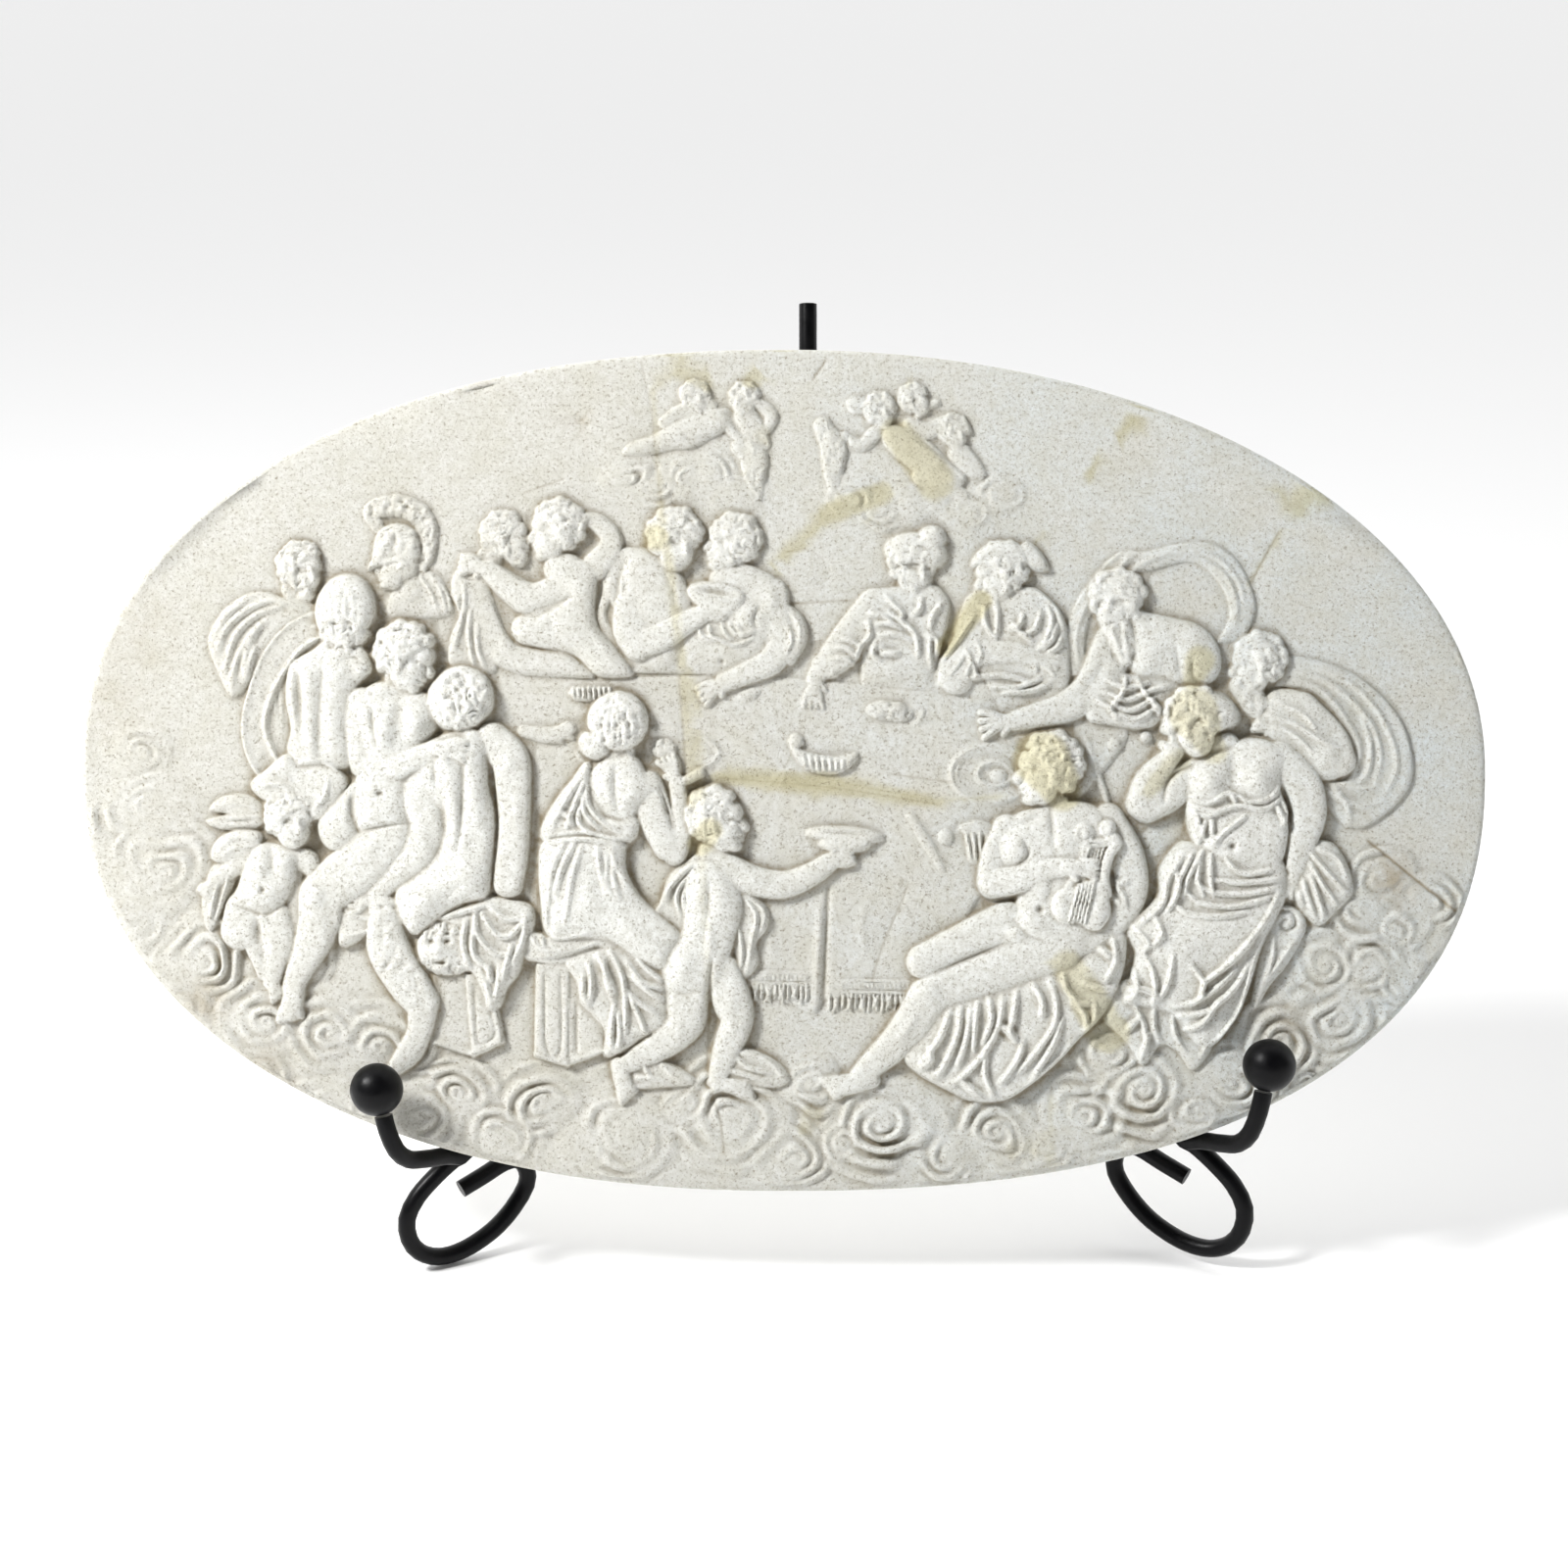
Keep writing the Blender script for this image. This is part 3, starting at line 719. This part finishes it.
def lyrePlayer(r):
    r.figure(2.0, 0.3)
    r.sheet([(34, -81), (40, -74), (46, -66), (60, -62), (72, -57), (82, -54), (93, -45), (97, -46),
             (97, -53), (95, -61), (91, -69), (84, -76), (77, -83), (70, -89), (63, -93.5), (54, -94),
             (47, -91), (43, -89), (38, -86)], 0, 2.6, 6)
    r.done()
    r.figure(2.6, 0.36)
    r.limb([(64, -44, 6.5), (52, -49, 5.6), (40, -54.5, 4.8)])
    r.limb([(77, -10, 4), (77, -13, 4.4)])
    r.sheet([(70, -11), (64, -14), (60, -20), (61, -27), (66, -33), (65, -40), (62, -46), (66, -52),
             (76, -55), (86, -51), (90, -44), (92, -36), (92, -26), (94, -17), (90, -11.5), (83, -9),
             (76, -9.5)], 0, 3.2, 8)
    r.limb([(78, -50.5, 7, 0.3), (68, -54, 6.8, 0.3), (57, -58, 6.4, 0.3), (48, -61, 6, 0.3),
            (42, -64, 5.6, 0.3)])
    r.limb([(41, -64.5, 5.6, 0.3), (37.5, -71, 5.4), (32, -77.5, 4.4), (26, -83, 3.4),
            (21.5, -87.5, 2.8)])
    r.foot((25, -88), (12, -90.6), 2.7, 0.1)
    r.muscles((65.5, -22, 3.4, 3.2, 10, 0.8), (80, -20, 4.6, 3.4, -6, 0.7), (73, -30, 4, 5, 10, 0.4),
              (72.5, -39.5, 0.9, 1, 0, -0.9), (70, -42.5, 5, 3, -20, 0.5), (65, -47, 2, 1.8, 0, 0.6),
              (41, -62, 3, 3, 0, 0.6), (60, -55, 6, 2, -18, 0.3), (35, -73, 1.2, 5, -35, 0.4),
              (76, -16, 1, 6, 5, -0.5), (70, -14, 4, 1, 20, -0.4), (48, -49, 6, 2, -25, 0.3))
    r.ridge([(67.4, -19.5), (69.2, -23.5), (66, -27), (61.5, -28)], 0.7, -1.0)
    r.ridge([(62, -49.4), (52, -53.4), (43, -57.6)], 0.7, -1.1)
    r.ridge([(64, -41), (69, -46.5), (76, -49)], 0.9, -0.6)
    r.ridge([(77, -24), (76, -32), (74, -38)], 0.9, -0.5)
    r.limb([(63.5, -17, 4, 0.4), (60.6, -24, 4.2, 0.4), (59.4, -30.5, 4, 0.6)], 0.4)
    r.limb([(59.6, -31.8, 4, 1.2), (67, -30.6, 3.8, 2.4), (75, -28, 3, 3.2), (81, -27.4, 2.5, 3.6)], 0.3)
    r.limb([(92, -14.5, 4.6), (96.6, -23, 4.8), (98.6, -32, 4.6), (96, -40, 4.6, 0.3),
            (89, -46.6, 3.6, 0.6), (82, -51, 2.7, 0.9)], 0.5)
    r.hand(82, -50.6, 178, 10, 40, 12, 0.9, 1.2)
    r.head(74.6, -0.6, 9.4, -0.4, 8, 1.2)
    r.done()
    r.figure(6.0, 0.35)
    r.sheet([(75.5, -38), (77.6, -34), (82, -32.6), (90, -31), (91.6, -36), (92, -41), (89, -45),
             (85.6, -44.6), (83, -42.8), (79, -43.4), (76.4, -41)], 0, 1.0, 2.5)
    r.limb([(91.6, -17.6, 1.5), (94, -20.5, 1.3), (92, -24, 1.1), (90.4, -30, 1.2), (91, -35, 1.4)], 0.3)
    r.limb([(86, -20, 1.4), (84.6, -23.5, 1), (83.4, -28, 1), (80, -34, 1.3)], 0.3)
    r.limb([(83.6, -20.6, 0.9), (94, -20.4, 0.9)], 0.2)
    for x, y, size in ((84.8, -17.8, 2.8), (91.5, -16.6, 2.2)):
        r.blob(x, y, size, size, 0, 0, 1.2)
        r.ridge([(x + 0.5, y), (x - 0.9, y + 0.8), (x - 1.2, y - 0.8), (x + 0.4, y - 1.8),
                 (x + 2, y - 0.4), (x + 1.4, y + 1.8)], 0.4, -0.8)
    r.swell(78.6, -38.6, 2.2, 3, -20, 0.7)
    r.swell(88.6, -40.6, 2, 3, 0, 0.7)
    for n in range(5):
        r.ridge([(86.6 + n, -21.5), (84 + n, -30), (80.4 + 1.1 * n, -43.5)], 0.34, 1.2, 0.1, 0.5)
    r.done()
    r.figure(6.9, 0.3)
    r.hand(80, -27.6, 0, 9, 20, -18, 0.9, 0)
    r.done()


def seatedWomanAtRight(r):
    r.figure(1.6, 0.32)
    r.sheet([(148, -20), (156, -21), (160.5, -28), (161.5, -35), (157, -40), (152, -44), (147, -40),
             (144, -34), (145, -26)], 0, 2, 5)
    r.sheet([(138, -40), (143, -38.5), (147.5, -41), (148, -46), (143, -55), (138, -61), (133.5, -68),
             (134, -58), (136, -48)], 0, 1.2, 3)
    r.ridge([(143, -42), (141, -43.6), (142.6, -45.6), (145.4, -44), (144.4, -40.6), (140.6, -40.4),
             (138.6, -43.6)], 0.6, -0.9, 0.2)
    r.sheet([(96, -60), (104, -60), (112, -68), (122, -74), (121, -80), (116, -85), (112, -80),
             (107, -78), (102, -84), (98, -78), (94, -74), (91, -70)], 0, 1.2, 4)
    r.done()
    r.figure(2.1, 0.34)
    r.sheet([(116, -20), (111, -22), (107, -28), (106, -36), (99, -42), (97, -46), (100, -52), (98, -60),
             (96, -66), (104, -68), (110, -70), (117, -78), (122, -78), (128, -70), (132, -62),
             (136, -50), (140, -42), (143, -34), (142, -26), (136, -20)], 0, 3.2, 7)
    r.muscles((122, -45, 11, 6, 8, 1.1), (113, -52, 5, 8, -20, 0.8), (106, -47, 5, 5, 0, 0.8))
    r.done()
    r.figure(2.8, 0.36)
    r.limb([(125, 6, 4.6), (126, 1, 5)])
    r.sheet([(119, 4), (114, 0), (114, -8), (115, -16), (117, -23), (124, -28), (133, -29), (140, -28),
             (143, -20), (143, -12), (141, -5), (143, 4), (137, 8.5), (128, 8)], 0, 3, 7)
    r.muscles((120.4, -3.4, 4, 3.8, 0, 1.7), (134, -2.6, 4.2, 4, 0, 1.7), (127, 1, 1.6, 5, 0, -0.5),
              (127, -21.5, 1, 1, 0, -1.1), (128, -21, 6, 4.6, 0, 0.6), (124, 5.6, 4, 1, 10, -0.5),
              (136, 5, 4, 2, -10, 0.4))
    r.swell(121.4, -20.6, 1.5, 1.5, 0, 1.2)
    r.limb([(140.5, 3, 5.4), (146.6, -3, 5.4), (149, -11, 4.8), (147.6, -19, 4.1), (145.6, -27, 3)], 0.5)
    r.hand(145.6, -28, 250, 8.5, 24, 12, 0.85, 0.2)
    r.ridge([(141, -4), (143.6, -10), (143.8, -18)], 0.7, -1.1)
    r.limb([(117, -1.4, 4.8), (109, -6.4, 5), (103, -10, 4.4)], 0.5)
    r.limb([(101.6, -9.6, 3.9, 0.4), (104, -3.6, 3.8, 0.6), (108.6, 2.4, 2.7, 0.9), (111.6, 6, 2.2, 1)],
           0.3)
    r.ridge([(116.6, 1.6), (110.6, -1.2), (108.2, -5), (107.6, -9.6)], 0.7, -1.3)
    r.head(116.5, 12.6, 9.2, -0.5, 24, 1.2)
    r.blob(119, 17, 9, 5.4, -12, 1.6, 2.8)
    r.hand(109.6, 3.6, 62, 8, 22, 30, 0.9, 1.8)
    r.done()


def flyingBoys(r):
    # two loose puffs of cloud with winged boys and garlands in front
    for x0, y0, count in ((-45, 84, 5), (20, 79, 6)):
        r.cloudBank([(x0 + 8 * n, y0 - 3 + 2.5 * math.cos(2.4 * n), 6.5, 100 * n, (-1) ** n,
                      0.5) for n in range(count)], cloudRings)
    r.swell(-46, 90, 5, 8, 20, 0.5)
    r.figure(0.7, 0.26)
    r.sheet([(-18, 103), (-24, 102), (-31, 99), (-38, 95), (-44, 93), (-46, 90), (-40, 89.6), (-33, 91),
             (-26, 92), (-20, 95), (-16, 98)], 0, 1.4, 4)
    r.ridge([(-29, 96), (-26, 94), (-20, 95)], 0.9, -0.7)
    r.ridge([(-38, 93), (-33, 91), (-28, 93)], 0.9, -0.5)
    r.limb([(-22, 103, 3), (-29, 102, 2.2), (-34, 99, 1.6)])
    r.limb([(-17, 101, 2), (-14.6, 97, 1.8), (-11, 94, 1.5)])
    r.limb([(-11, 101, 3.2), (-8.6, 97, 3.2), (-6, 93, 2)])
    r.limb([(-6.6, 104, 1.6), (-3.6, 101, 1.8), (-5, 97, 1.2)])
    r.ridge([(-16, 103), (-14, 98), (-11.6, 95.4)], 0.6, -0.8)
    r.head(-25, 105.6, 4.6, 0.4, 0, 0.2)
    r.head(-11.5, 105, 4.6, -0.6, 10, 0.2)
    r.limb([(-13, 92, 2), (-9, 90, 4), (-8.4, 84, 3), (-8, 78, 1.4)], 0.3)
    r.done()
    r.figure(0.7, 0.26)
    r.sheet([(29, 98), (36, 97), (42, 93), (47, 88), (52, 83), (49, 80), (43, 80), (37, 85), (31, 90),
             (28, 94)], 0, 1.8, 4)
    r.ridge([(37, 95), (42, 91.6), (47, 87.6)], 0.7, -0.8)
    r.ridge([(44, 87), (49, 84), (52, 81)], 0.7, -0.6)
    r.limb([(36, 98, 2.2), (41, 96.6, 2.4), (46, 99, 2)])
    r.limb([(26, 96, 2), (22, 92.6, 1.6), (17, 95, 1.2)])
    r.limb([(50, 90, 3.2), (53, 86.6, 3), (55.6, 84.6, 1.8)])
    r.limb([(40, 84, 3.4), (46, 81, 3), (51, 78, 1.8)])
    r.head(27.6, 101.6, 5, 0.4, 0, 0.2)
    r.head(37.6, 105, 4.6, 0.6, 20, 0.1)
    r.head(48.6, 95.6, 4.8, 0.6, -10, 0.2)
    r.limb([(38, 100.6, 0.8), (41, 103.6, 0.9), (43.6, 104.6, 0.8)], 0.2)
    r.blob(21, 104, 3.2, 2.6, 0, -0.3)
    r.limb([(11, 98, 2.4), (14, 92, 3.6), (14, 86, 2.8), (14, 80, 1.2)], 0.3)
    r.done()


def tableAndMeal(r):
    r.figure(0.25, 0.2)
    r.sheet([(-86, 24), (-55, 26), (-15, 27), (14, 25), (33, 23.5), (58, 20.5), (85, 15), (98, 11),
             (84, -8), (60, -30), (38, -64), (24, -64.6), (12, -65), (9, -69), (3, -67), (-9, -62),
             (-70, -40)], 0, 0.5, 1.5)
    r.done()
    r.ridge([(12.6, -33), (12, -48), (11.2, -67)], 0.7, -1.0, 0.2)
    r.ridge([(10.4, -38), (9.6, -52), (8.8, -68)], 1.3, 0.7, 0.4)
    r.ridge([(-2, -34), (-4, -44), (-3, -55)], 1.4, 0.35)
    r.ridge([(24, -36), (22, -46), (25, -57)], 1.6, 0.3)
    r.figure(0.8, 0.3)
    r.sheet([(-60.5, 23.5), (-49, 23.5), (-50, 20), (-59.5, 20)], 0.2, 1.0, 1.2)
    r.blob(30, 16.8, 6.6, 3, -6, 0.2, 1.4)
    r.limb([(36.5, 18, 0.7), (39.6, 17, 0.7), (38, 13.5, 0.7)], 0.1)
    r.sheet([(1.5, 8.5), (3, 3.5), (8, -0.5), (15, -1), (20, 2), (21, 5), (15, 4), (9, 4.6), (5, 6)], 0.1,
            1.6, 2)
    r.blob(3.4, 8.2, 2.2, 2.2, 0, 0.4, 1.0)
    r.blob(46, -19, 2.3, 2.3, 0, 0, 0.9)
    r.limb([(36, -13, 1.3), (41, -21, 1.6), (45, -28, 1)])
    r.blob(55, -16.5, 4.8, 1.8, 0, 0.5, 0.8)
    r.limb([(55, -18, 4, 0), (55, -24, 3, 0)], 0.2)
    r.limb([(86, 9, 0.8), (92, -9, 0.7)])
    r.blob(94, 7.5, 1.9, 1.9, 0, 0, 0.8)
    r.blob(103, 9.5, 1.5, 1.5, 0, 0, 0.7)
    r.done()
    for x, y, rx, ry in ((-38.5, 5, 20, 6.5), (59, -1, 11.5, 8)):
        r.ridge([(x + rx * math.cos(n / 4), y + ry * math.sin(n / 4)) for n in range(26)], 0.8, 0.8, 0.1)
    r.ridge([(60 + 5 * math.cos(n / 2), -1 + 3.4 * math.sin(n / 2)) for n in range(14)], 0.6, 0.8, 0.1)
    r.figure(0.8, 0.3)
    r.blob(-34, 6, 3.6, 3, 0, 0.1, 1.2)
    r.blob(61, -1.6, 2.6, 2, 0, 0, 0.9)
    r.done()


def clouds(r):
    # each curl of cloud: centre, size, where its spiral starts, which way it turns and its height
    rolls = [(-184, 6, 8, 60, 1, 0.4), (-181, -10, 12, 150, -1, 0.5), (-176, -27, 14, 40, 1, 0.7),
             (-184, -42, 10, 230, 1, 0.6), (-165, -53, 13, 10, 1, 0.9), (-172, -68, 10, 200, -1, 0.6),
             (-148, -71, 14, 90, 1, 1.0), (-152, -88, 10, 300, 1, 0.6), (-130, -73, 15, 200, -1, 1.0),
             (-117, -77, 14, 40, 1, 1.0), (-128, -95, 11, 120, -1, 0.7), (-104, -99, 13, 30, 1, 0.7),
             (-92, -92, 10, 250, -1, 0.9), (-82, -104, 12, 80, 1, 0.6), (-69, -95, 11, 160, -1, 1.0),
             (-56, -108, 8, 20, 1, 0.6), (-46, -103, 16, 180, 1, 1.1), (-28, -96, 9, 60, -1, 0.8),
             (-16, -99, 16, 90, 1, 1.2), (2, -110, 10, 310, -1, 0.7), (7, -90, 9, 40, -1, 1.0),
             (17, -106, 9, 120, 1, 0.7), (29, -101, 17, 100, -1, 1.2), (47, -108, 10, 260, 1, 0.7),
             (60, -102, 12, 200, 1, 0.9), (75, -108, 10, 60, -1, 0.6), (87, -98, 13, 20, 1, 0.9),
             (102, -92, 16, 90, -1, 1.2), (118, -98, 10, 180, 1, 0.6), (128, -88, 12, 10, 1, 0.9),
             (141, -78, 14, 60, 1, 1.1), (150, -90, 9, 240, -1, 0.6), (157, -70, 15, 140, -1, 1.1),
             (153, -54, 12, 320, 1, 0.9), (166, -55, 14, 30, 1, 1.0), (176, -60, 10, 200, 1, 0.6),
             (164, -40, 12, 110, -1, 0.9), (174, -44, 10, 80, 1, 0.8), (172, -31, 9, 160, -1, 0.7),
             (184, -38, 9, 20, 1, 0.5), (92, -80, 9, 300, 1, 0.8), (-140, -54, 10, 280, -1, 0.6)]
    r.cloudBank(rolls, cloudRings)


def carve(halfWide, halfHigh, cell):
    r = Relief(halfWide, halfHigh, cell)
    for part in (flyingBoys, clouds, tableAndMeal, oldManBehindShield, shieldDisc, helmetedBust,
                 embracingPair,
                 pairWithCup, womanWithPiledHair, manInCap, leaningOldMan, farRightMan, goddessFromBehind,
                 seatedNude, drapedSeat, goatLeggedMan, nudesForearm, wingedBoy, womanFromBehind,
                 servingBoy,
                 lyrePlayer, seatedWomanAtRight):
        part(r)
    return r


def outlineRadius(angle):
    # the oval's edge as a share of the ellipse's, with its own roundness in each quarter
    c, s = math.cos(angle), math.sin(angle)
    power = outlinePower[("top" if s > 0 else "bottom") + ("Right" if c > 0 else "Left")]
    return (abs(c) ** power + abs(s) ** power) ** (-1 / power)


def bottomEdge(u):
    # height on the plaque of its lower edge at u from the centre
    power = outlinePower["bottomRight" if u > 0 else "bottomLeft"]
    return -plaqueHeight / 2 * (1 - abs(2 * u / plaqueWidth) ** power) ** (1 / power)


def ovalPoint(s, t, inset=0.0):
    # a square of -1 to 1 spread over the oval
    x, y = s * math.sqrt(1 - t * t / 2), t * math.sqrt(1 - s * s / 2)
    radius, angle = math.hypot(x, y), math.atan2(y, x)
    share = radius * outlineRadius(angle)
    return (share * math.cos(angle) * (plaqueWidth / 2 - inset),
            share * math.sin(angle) * (plaqueHeight / 2 - inset))


def principled(name, colour, roughness, metallic=0.0):
    material = bpy.data.materials.new(name)
    material.use_nodes = True
    shader = material.node_tree.nodes["Principled BSDF"]
    shader.inputs["Base Color"].default_value = (*colour, 1)
    shader.inputs["Roughness"].default_value = roughness
    shader.inputs["Metallic"].default_value = metallic
    return material


# The plaque's own axes: x to the right, y up its face, z out of its front.
plaqueFrame = Matrix.Rotation(math.pi / 2 - leanBack, 4, "X")


def onPlaque(u, v, w):
    return plaqueFrame @ Vector((u, v, w))


def makePlaque(material):
    relief = carve(drawnWidth / 2 + 4, drawnHeight / 2 + 4, 1.0)
    columns, rows = 240, 150
    scaleX, scaleY = drawnWidth / plaqueWidth, drawnHeight / plaqueHeight
    high = reliefHeight / float(relief.h.max())

    def heightAt(x, y):
        i = (x * scaleX - relief.xs[0]) / relief.cell
        j = (y * scaleY - relief.ys[0]) / relief.cell
        a, b = int(i), int(j)
        fi, fj = i - a, j - b
        h = relief.h
        return high * float((h[b, a] * (1 - fi) + h[b, a + 1] * fi) * (1 - fj)
                            + (h[b + 1, a] * (1 - fi) + h[b + 1, a + 1] * fi) * fj)

    bm = bmesh.new()
    grid = []
    for j in range(rows + 1):
        line = []
        for i in range(columns + 1):
            s, t = 2 * i / columns - 1, 2 * j / rows - 1
            x, y = ovalPoint(s, t, rimRound)
            onRim = i in (0, columns) or j in (0, rows)
            line.append(bm.verts.new((x, y, 0.0 if onRim else heightAt(x, y))))
        grid.append(line)
    for j in range(rows):
        for i in range(columns):
            bm.faces.new((grid[j][i], grid[j][i + 1], grid[j + 1][i + 1], grid[j + 1][i]))
    edge = (grid[0][:-1] + [line[-1] for line in grid[:-1]] + grid[-1][:0:-1]
            + [line[0] for line in grid[:0:-1]])
    across = [2 * i / columns - 1 for i in range(columns)]
    upwards = [2 * j / rows - 1 for j in range(rows)]
    places = ([(s, -1) for s in across] + [(1, t) for t in upwards]
              + [(-s, 1) for s in across] + [(-1, -t) for t in upwards])
    profile = [(rimRound * 0.3, -rimRound * 0.3), (0, -rimRound), (0, backChamfer - plaqueThickness),
               (backChamfer, -plaqueThickness)]
    for inset, depth in profile:
        ring = [bm.verts.new((*ovalPoint(s, t, inset), depth)) for s, t in places]
        for k in range(len(ring)):
            n = (k + 1) % len(ring)
            bm.faces.new((edge[n], edge[k], ring[k], ring[n]))
        edge = ring
    bm.faces.new(edge[::-1])
    bmesh.ops.triangulate(bm, faces=bm.faces[:])
    bmesh.ops.recalc_face_normals(bm, faces=bm.faces[:])
    count = len(bm.faces)
    mesh = bpy.data.meshes.new("plaque")
    bm.to_mesh(mesh)
    bm.free()
    mesh.shade_smooth()
    mesh.set_sharp_from_angle(angle=math.radians(40))
    plaque = bpy.data.objects.new("plaque", mesh)
    plaque.rotation_euler = (math.pi / 2 - leanBack, 0, 0)
    thin = plaque.modifiers.new("fewer faces", "DECIMATE")
    thin.ratio = plaqueFaces / count
    finish(plaque, material)


def finish(thing, material):
    thing.data.materials.append(material)
    bpy.context.collection.objects.link(thing)


def makeRod(name, route, material, roundTip=False):
    # a bent rod through points that each lie in world space
    data = bpy.data.curves.new(name, "CURVE")
    data.dimensions = "3D"
    data.bevel_depth = rodDiameter / 2
    data.bevel_resolution = 2
    data.use_fill_caps = True
    spline = data.splines.new("POLY")
    spline.points.add(len(route) - 1)
    for point, place in zip(spline.points, route):
        point.co = (*place, 1)
    if roundTip:
        spline.points[0].radius = 0.55
    finish(bpy.data.objects.new(name, data), material)


def smoothRoute(places, spacing=4.5 * mm):
    rows = curve([tuple(place) for place in places], spacing)
    return [Vector(row) for row in rows]


def makeBall(name, centre, material):
    bm = bmesh.new()
    bmesh.ops.create_uvsphere(bm, u_segments=16, v_segments=10, radius=ballDiameter / 2)
    mesh = bpy.data.meshes.new(name)
    bm.to_mesh(mesh)
    bm.free()
    mesh.shade_smooth()
    ball = bpy.data.objects.new(name, mesh)
    ball.location = centre
    finish(ball, material)


# The scroll foot in its own upright plane: outwards and up from the bend, as shares of its width.
scrollShape = [(0.12, -0.06), (0.27, -0.16), (0.43, -0.30), (0.52, -0.46), (0.51, -0.63), (0.43, -0.76),
               (0.27, -0.84), (0.06, -0.83), (-0.18, -0.73), (-0.36, -0.58), (-0.48, -0.41),
               (-0.485, -0.28), (-0.42, -0.185), (-0.30, -0.18), (-0.12, -0.25), (0.07, -0.32)]
# The rest arm from its seat to its ball: shares of its reach, its rise and its way forwards.
armShape = [(0.29, 0.0, 0.40), (0.55, 0.03, 0.63), (0.72, 0.18, 0.81), (0.84, 0.45, 0.92)]

rod = rodDiameter / 2
legBack = -plaqueThickness - weldGap - rod        # the front legs run up the plaque's back
bendBack = legBack - 3 * mm
stemBack = legBack - rodDiameter - weldGap        # the stem and cross bar lie behind the legs
ballFront = ballClearance + ballDiameter / 2


def makeFrontLeg(side, sign, material):
    seat = seatAt[side]
    bendDown = bottomEdge(seat) - rod - weldGap + 0.7 * mm
    bend = onPlaque(seat - sign * 5 * mm, bendDown, bendBack)
    top = stemAt + sign * (rod + weldGap / 2 + 0.2 * mm)
    route = [onPlaque(top, legMeet + legWeld, legBack),
             onPlaque(top + sign * 1.2 * mm, legMeet + 12 * mm, legBack),
             onPlaque(top + sign * 5 * mm, legMeet - 6 * mm, legBack),
             onPlaque(seat * 0.52 + top * 0.48, legMeet * 0.48 + bendDown * 0.52, legBack),
             onPlaque(seat - sign * 12 * mm, bendDown + 14 * mm, legBack), bend]
    for out, up in scrollShape:
        reach = out * scrollSize[side]
        route.append(bend + Vector((sign * reach * math.cos(scrollSplay), -reach * math.sin(scrollSplay),
                                    up * scrollSize[side])))
    makeRod("front_leg_" + side, smoothRoute(route), material)


def makeRestArm(side, sign, material):
    seat = seatAt[side]
    level = bottomEdge(seat) - rod - weldGap
    start = -plaqueThickness - weldGap
    centre = onPlaque(seat + sign * armReach[side], level + armRise[side], ballFront)
    route = [onPlaque(seat - sign * 3.5 * mm, level - 0.6 * mm, start),
             onPlaque(seat, level - 0.1 * mm, start + 3.3 * mm)]
    for reach, rise, forward in armShape:
        route.append(onPlaque(seat + sign * reach * armReach[side], level + rise * armRise[side],
                              start + forward * (ballFront - start)))
    route.append(centre + (route[-1] - centre).normalized() * (ballDiameter / 2 + weldGap))
    makeRod("rest_arm_" + side, smoothRoute(route, 3 * mm), material)
    makeBall("ball_" + side, centre, material)


def backStrut(knee, footY, footZ):
    # straight down from the knee, then an easy bend into a short foot that lies on the surface
    slope = math.atan2(knee.z - footZ, footY - knee.y)
    turn = []
    for k in range(4, -1, -1):
        y = footY - footBend * math.sin(slope * k / 4)
        z = footZ + footBend * (1 - math.cos(slope * k / 4))
        turn.append(Vector((knee.x, y, z)))
    return [knee, *turn, Vector((knee.x, footY + heelLength, footZ))]


def lowestPoint():
    depsgraph = bpy.context.evaluated_depsgraph_get()
    low, left, right, front, rear = [], [], [], [], []
    for thing in bpy.context.collection.objects:
        shaped = thing.evaluated_get(depsgraph)
        mesh = shaped.to_mesh()
        points = [shaped.matrix_world @ vertex.co for vertex in mesh.vertices]
        shaped.to_mesh_clear()
        low.append(min(p.z for p in points))
        left.append(min(p.x for p in points))
        right.append(max(p.x for p in points))
        front.append(min(p.y for p in points))
        rear.append(max(p.y for p in points))
    return Vector(((min(left) + max(right)) / 2, (min(front) + max(rear)) / 2, min(low)))


def main():
    for thing in list(bpy.data.objects):
        bpy.data.objects.remove(thing, do_unlink=True)
    plaster = principled("cast plaster, aged ivory", (0.74, 0.71, 0.63), 0.8)
    iron = principled("wrought iron, satin black", (0.012, 0.013, 0.015), 0.42)
    makePlaque(plaster)
    for side, sign in (("left", -1), ("right", 1)):
        makeFrontLeg(side, sign, iron)
        makeRestArm(side, sign, iron)

    # The feet's lowest line gives the floor, and the back leg runs down to it.
    bpy.context.view_layer.update()
    floor = lowestPoint().z
    topEnd = plaqueHeight / 2 + stemAbove
    stem = [onPlaque(stemAt, topEnd, stemBack), onPlaque(stemAt, topEnd - rod / 2, stemBack)]
    knee = onPlaque(stemAt, legMeet + stemWeld, stemBack)
    bent = backStrut(knee, backFootReach, floor + rod)
    makeRod("back_leg", stem + bent, iron, True)

    halfBar = {}
    for side, sign in (("left", -1), ("right", 1)):
        seat = seatAt[side]
        share = (barAt - bottomEdge(seat)) / (legMeet - bottomEdge(seat))
        halfBar[side] = seat + (stemAt - seat) * share
    makeRod("cross_bar", [onPlaque(halfBar[side], barAt, stemBack) for side in ("left", "right")], iron)

    # The origin is the middle of the foot of the whole piece.
    bpy.context.view_layer.update()
    shift = lowestPoint()
    for thing in bpy.context.collection.objects:
        thing.location = thing.location - shift


main()
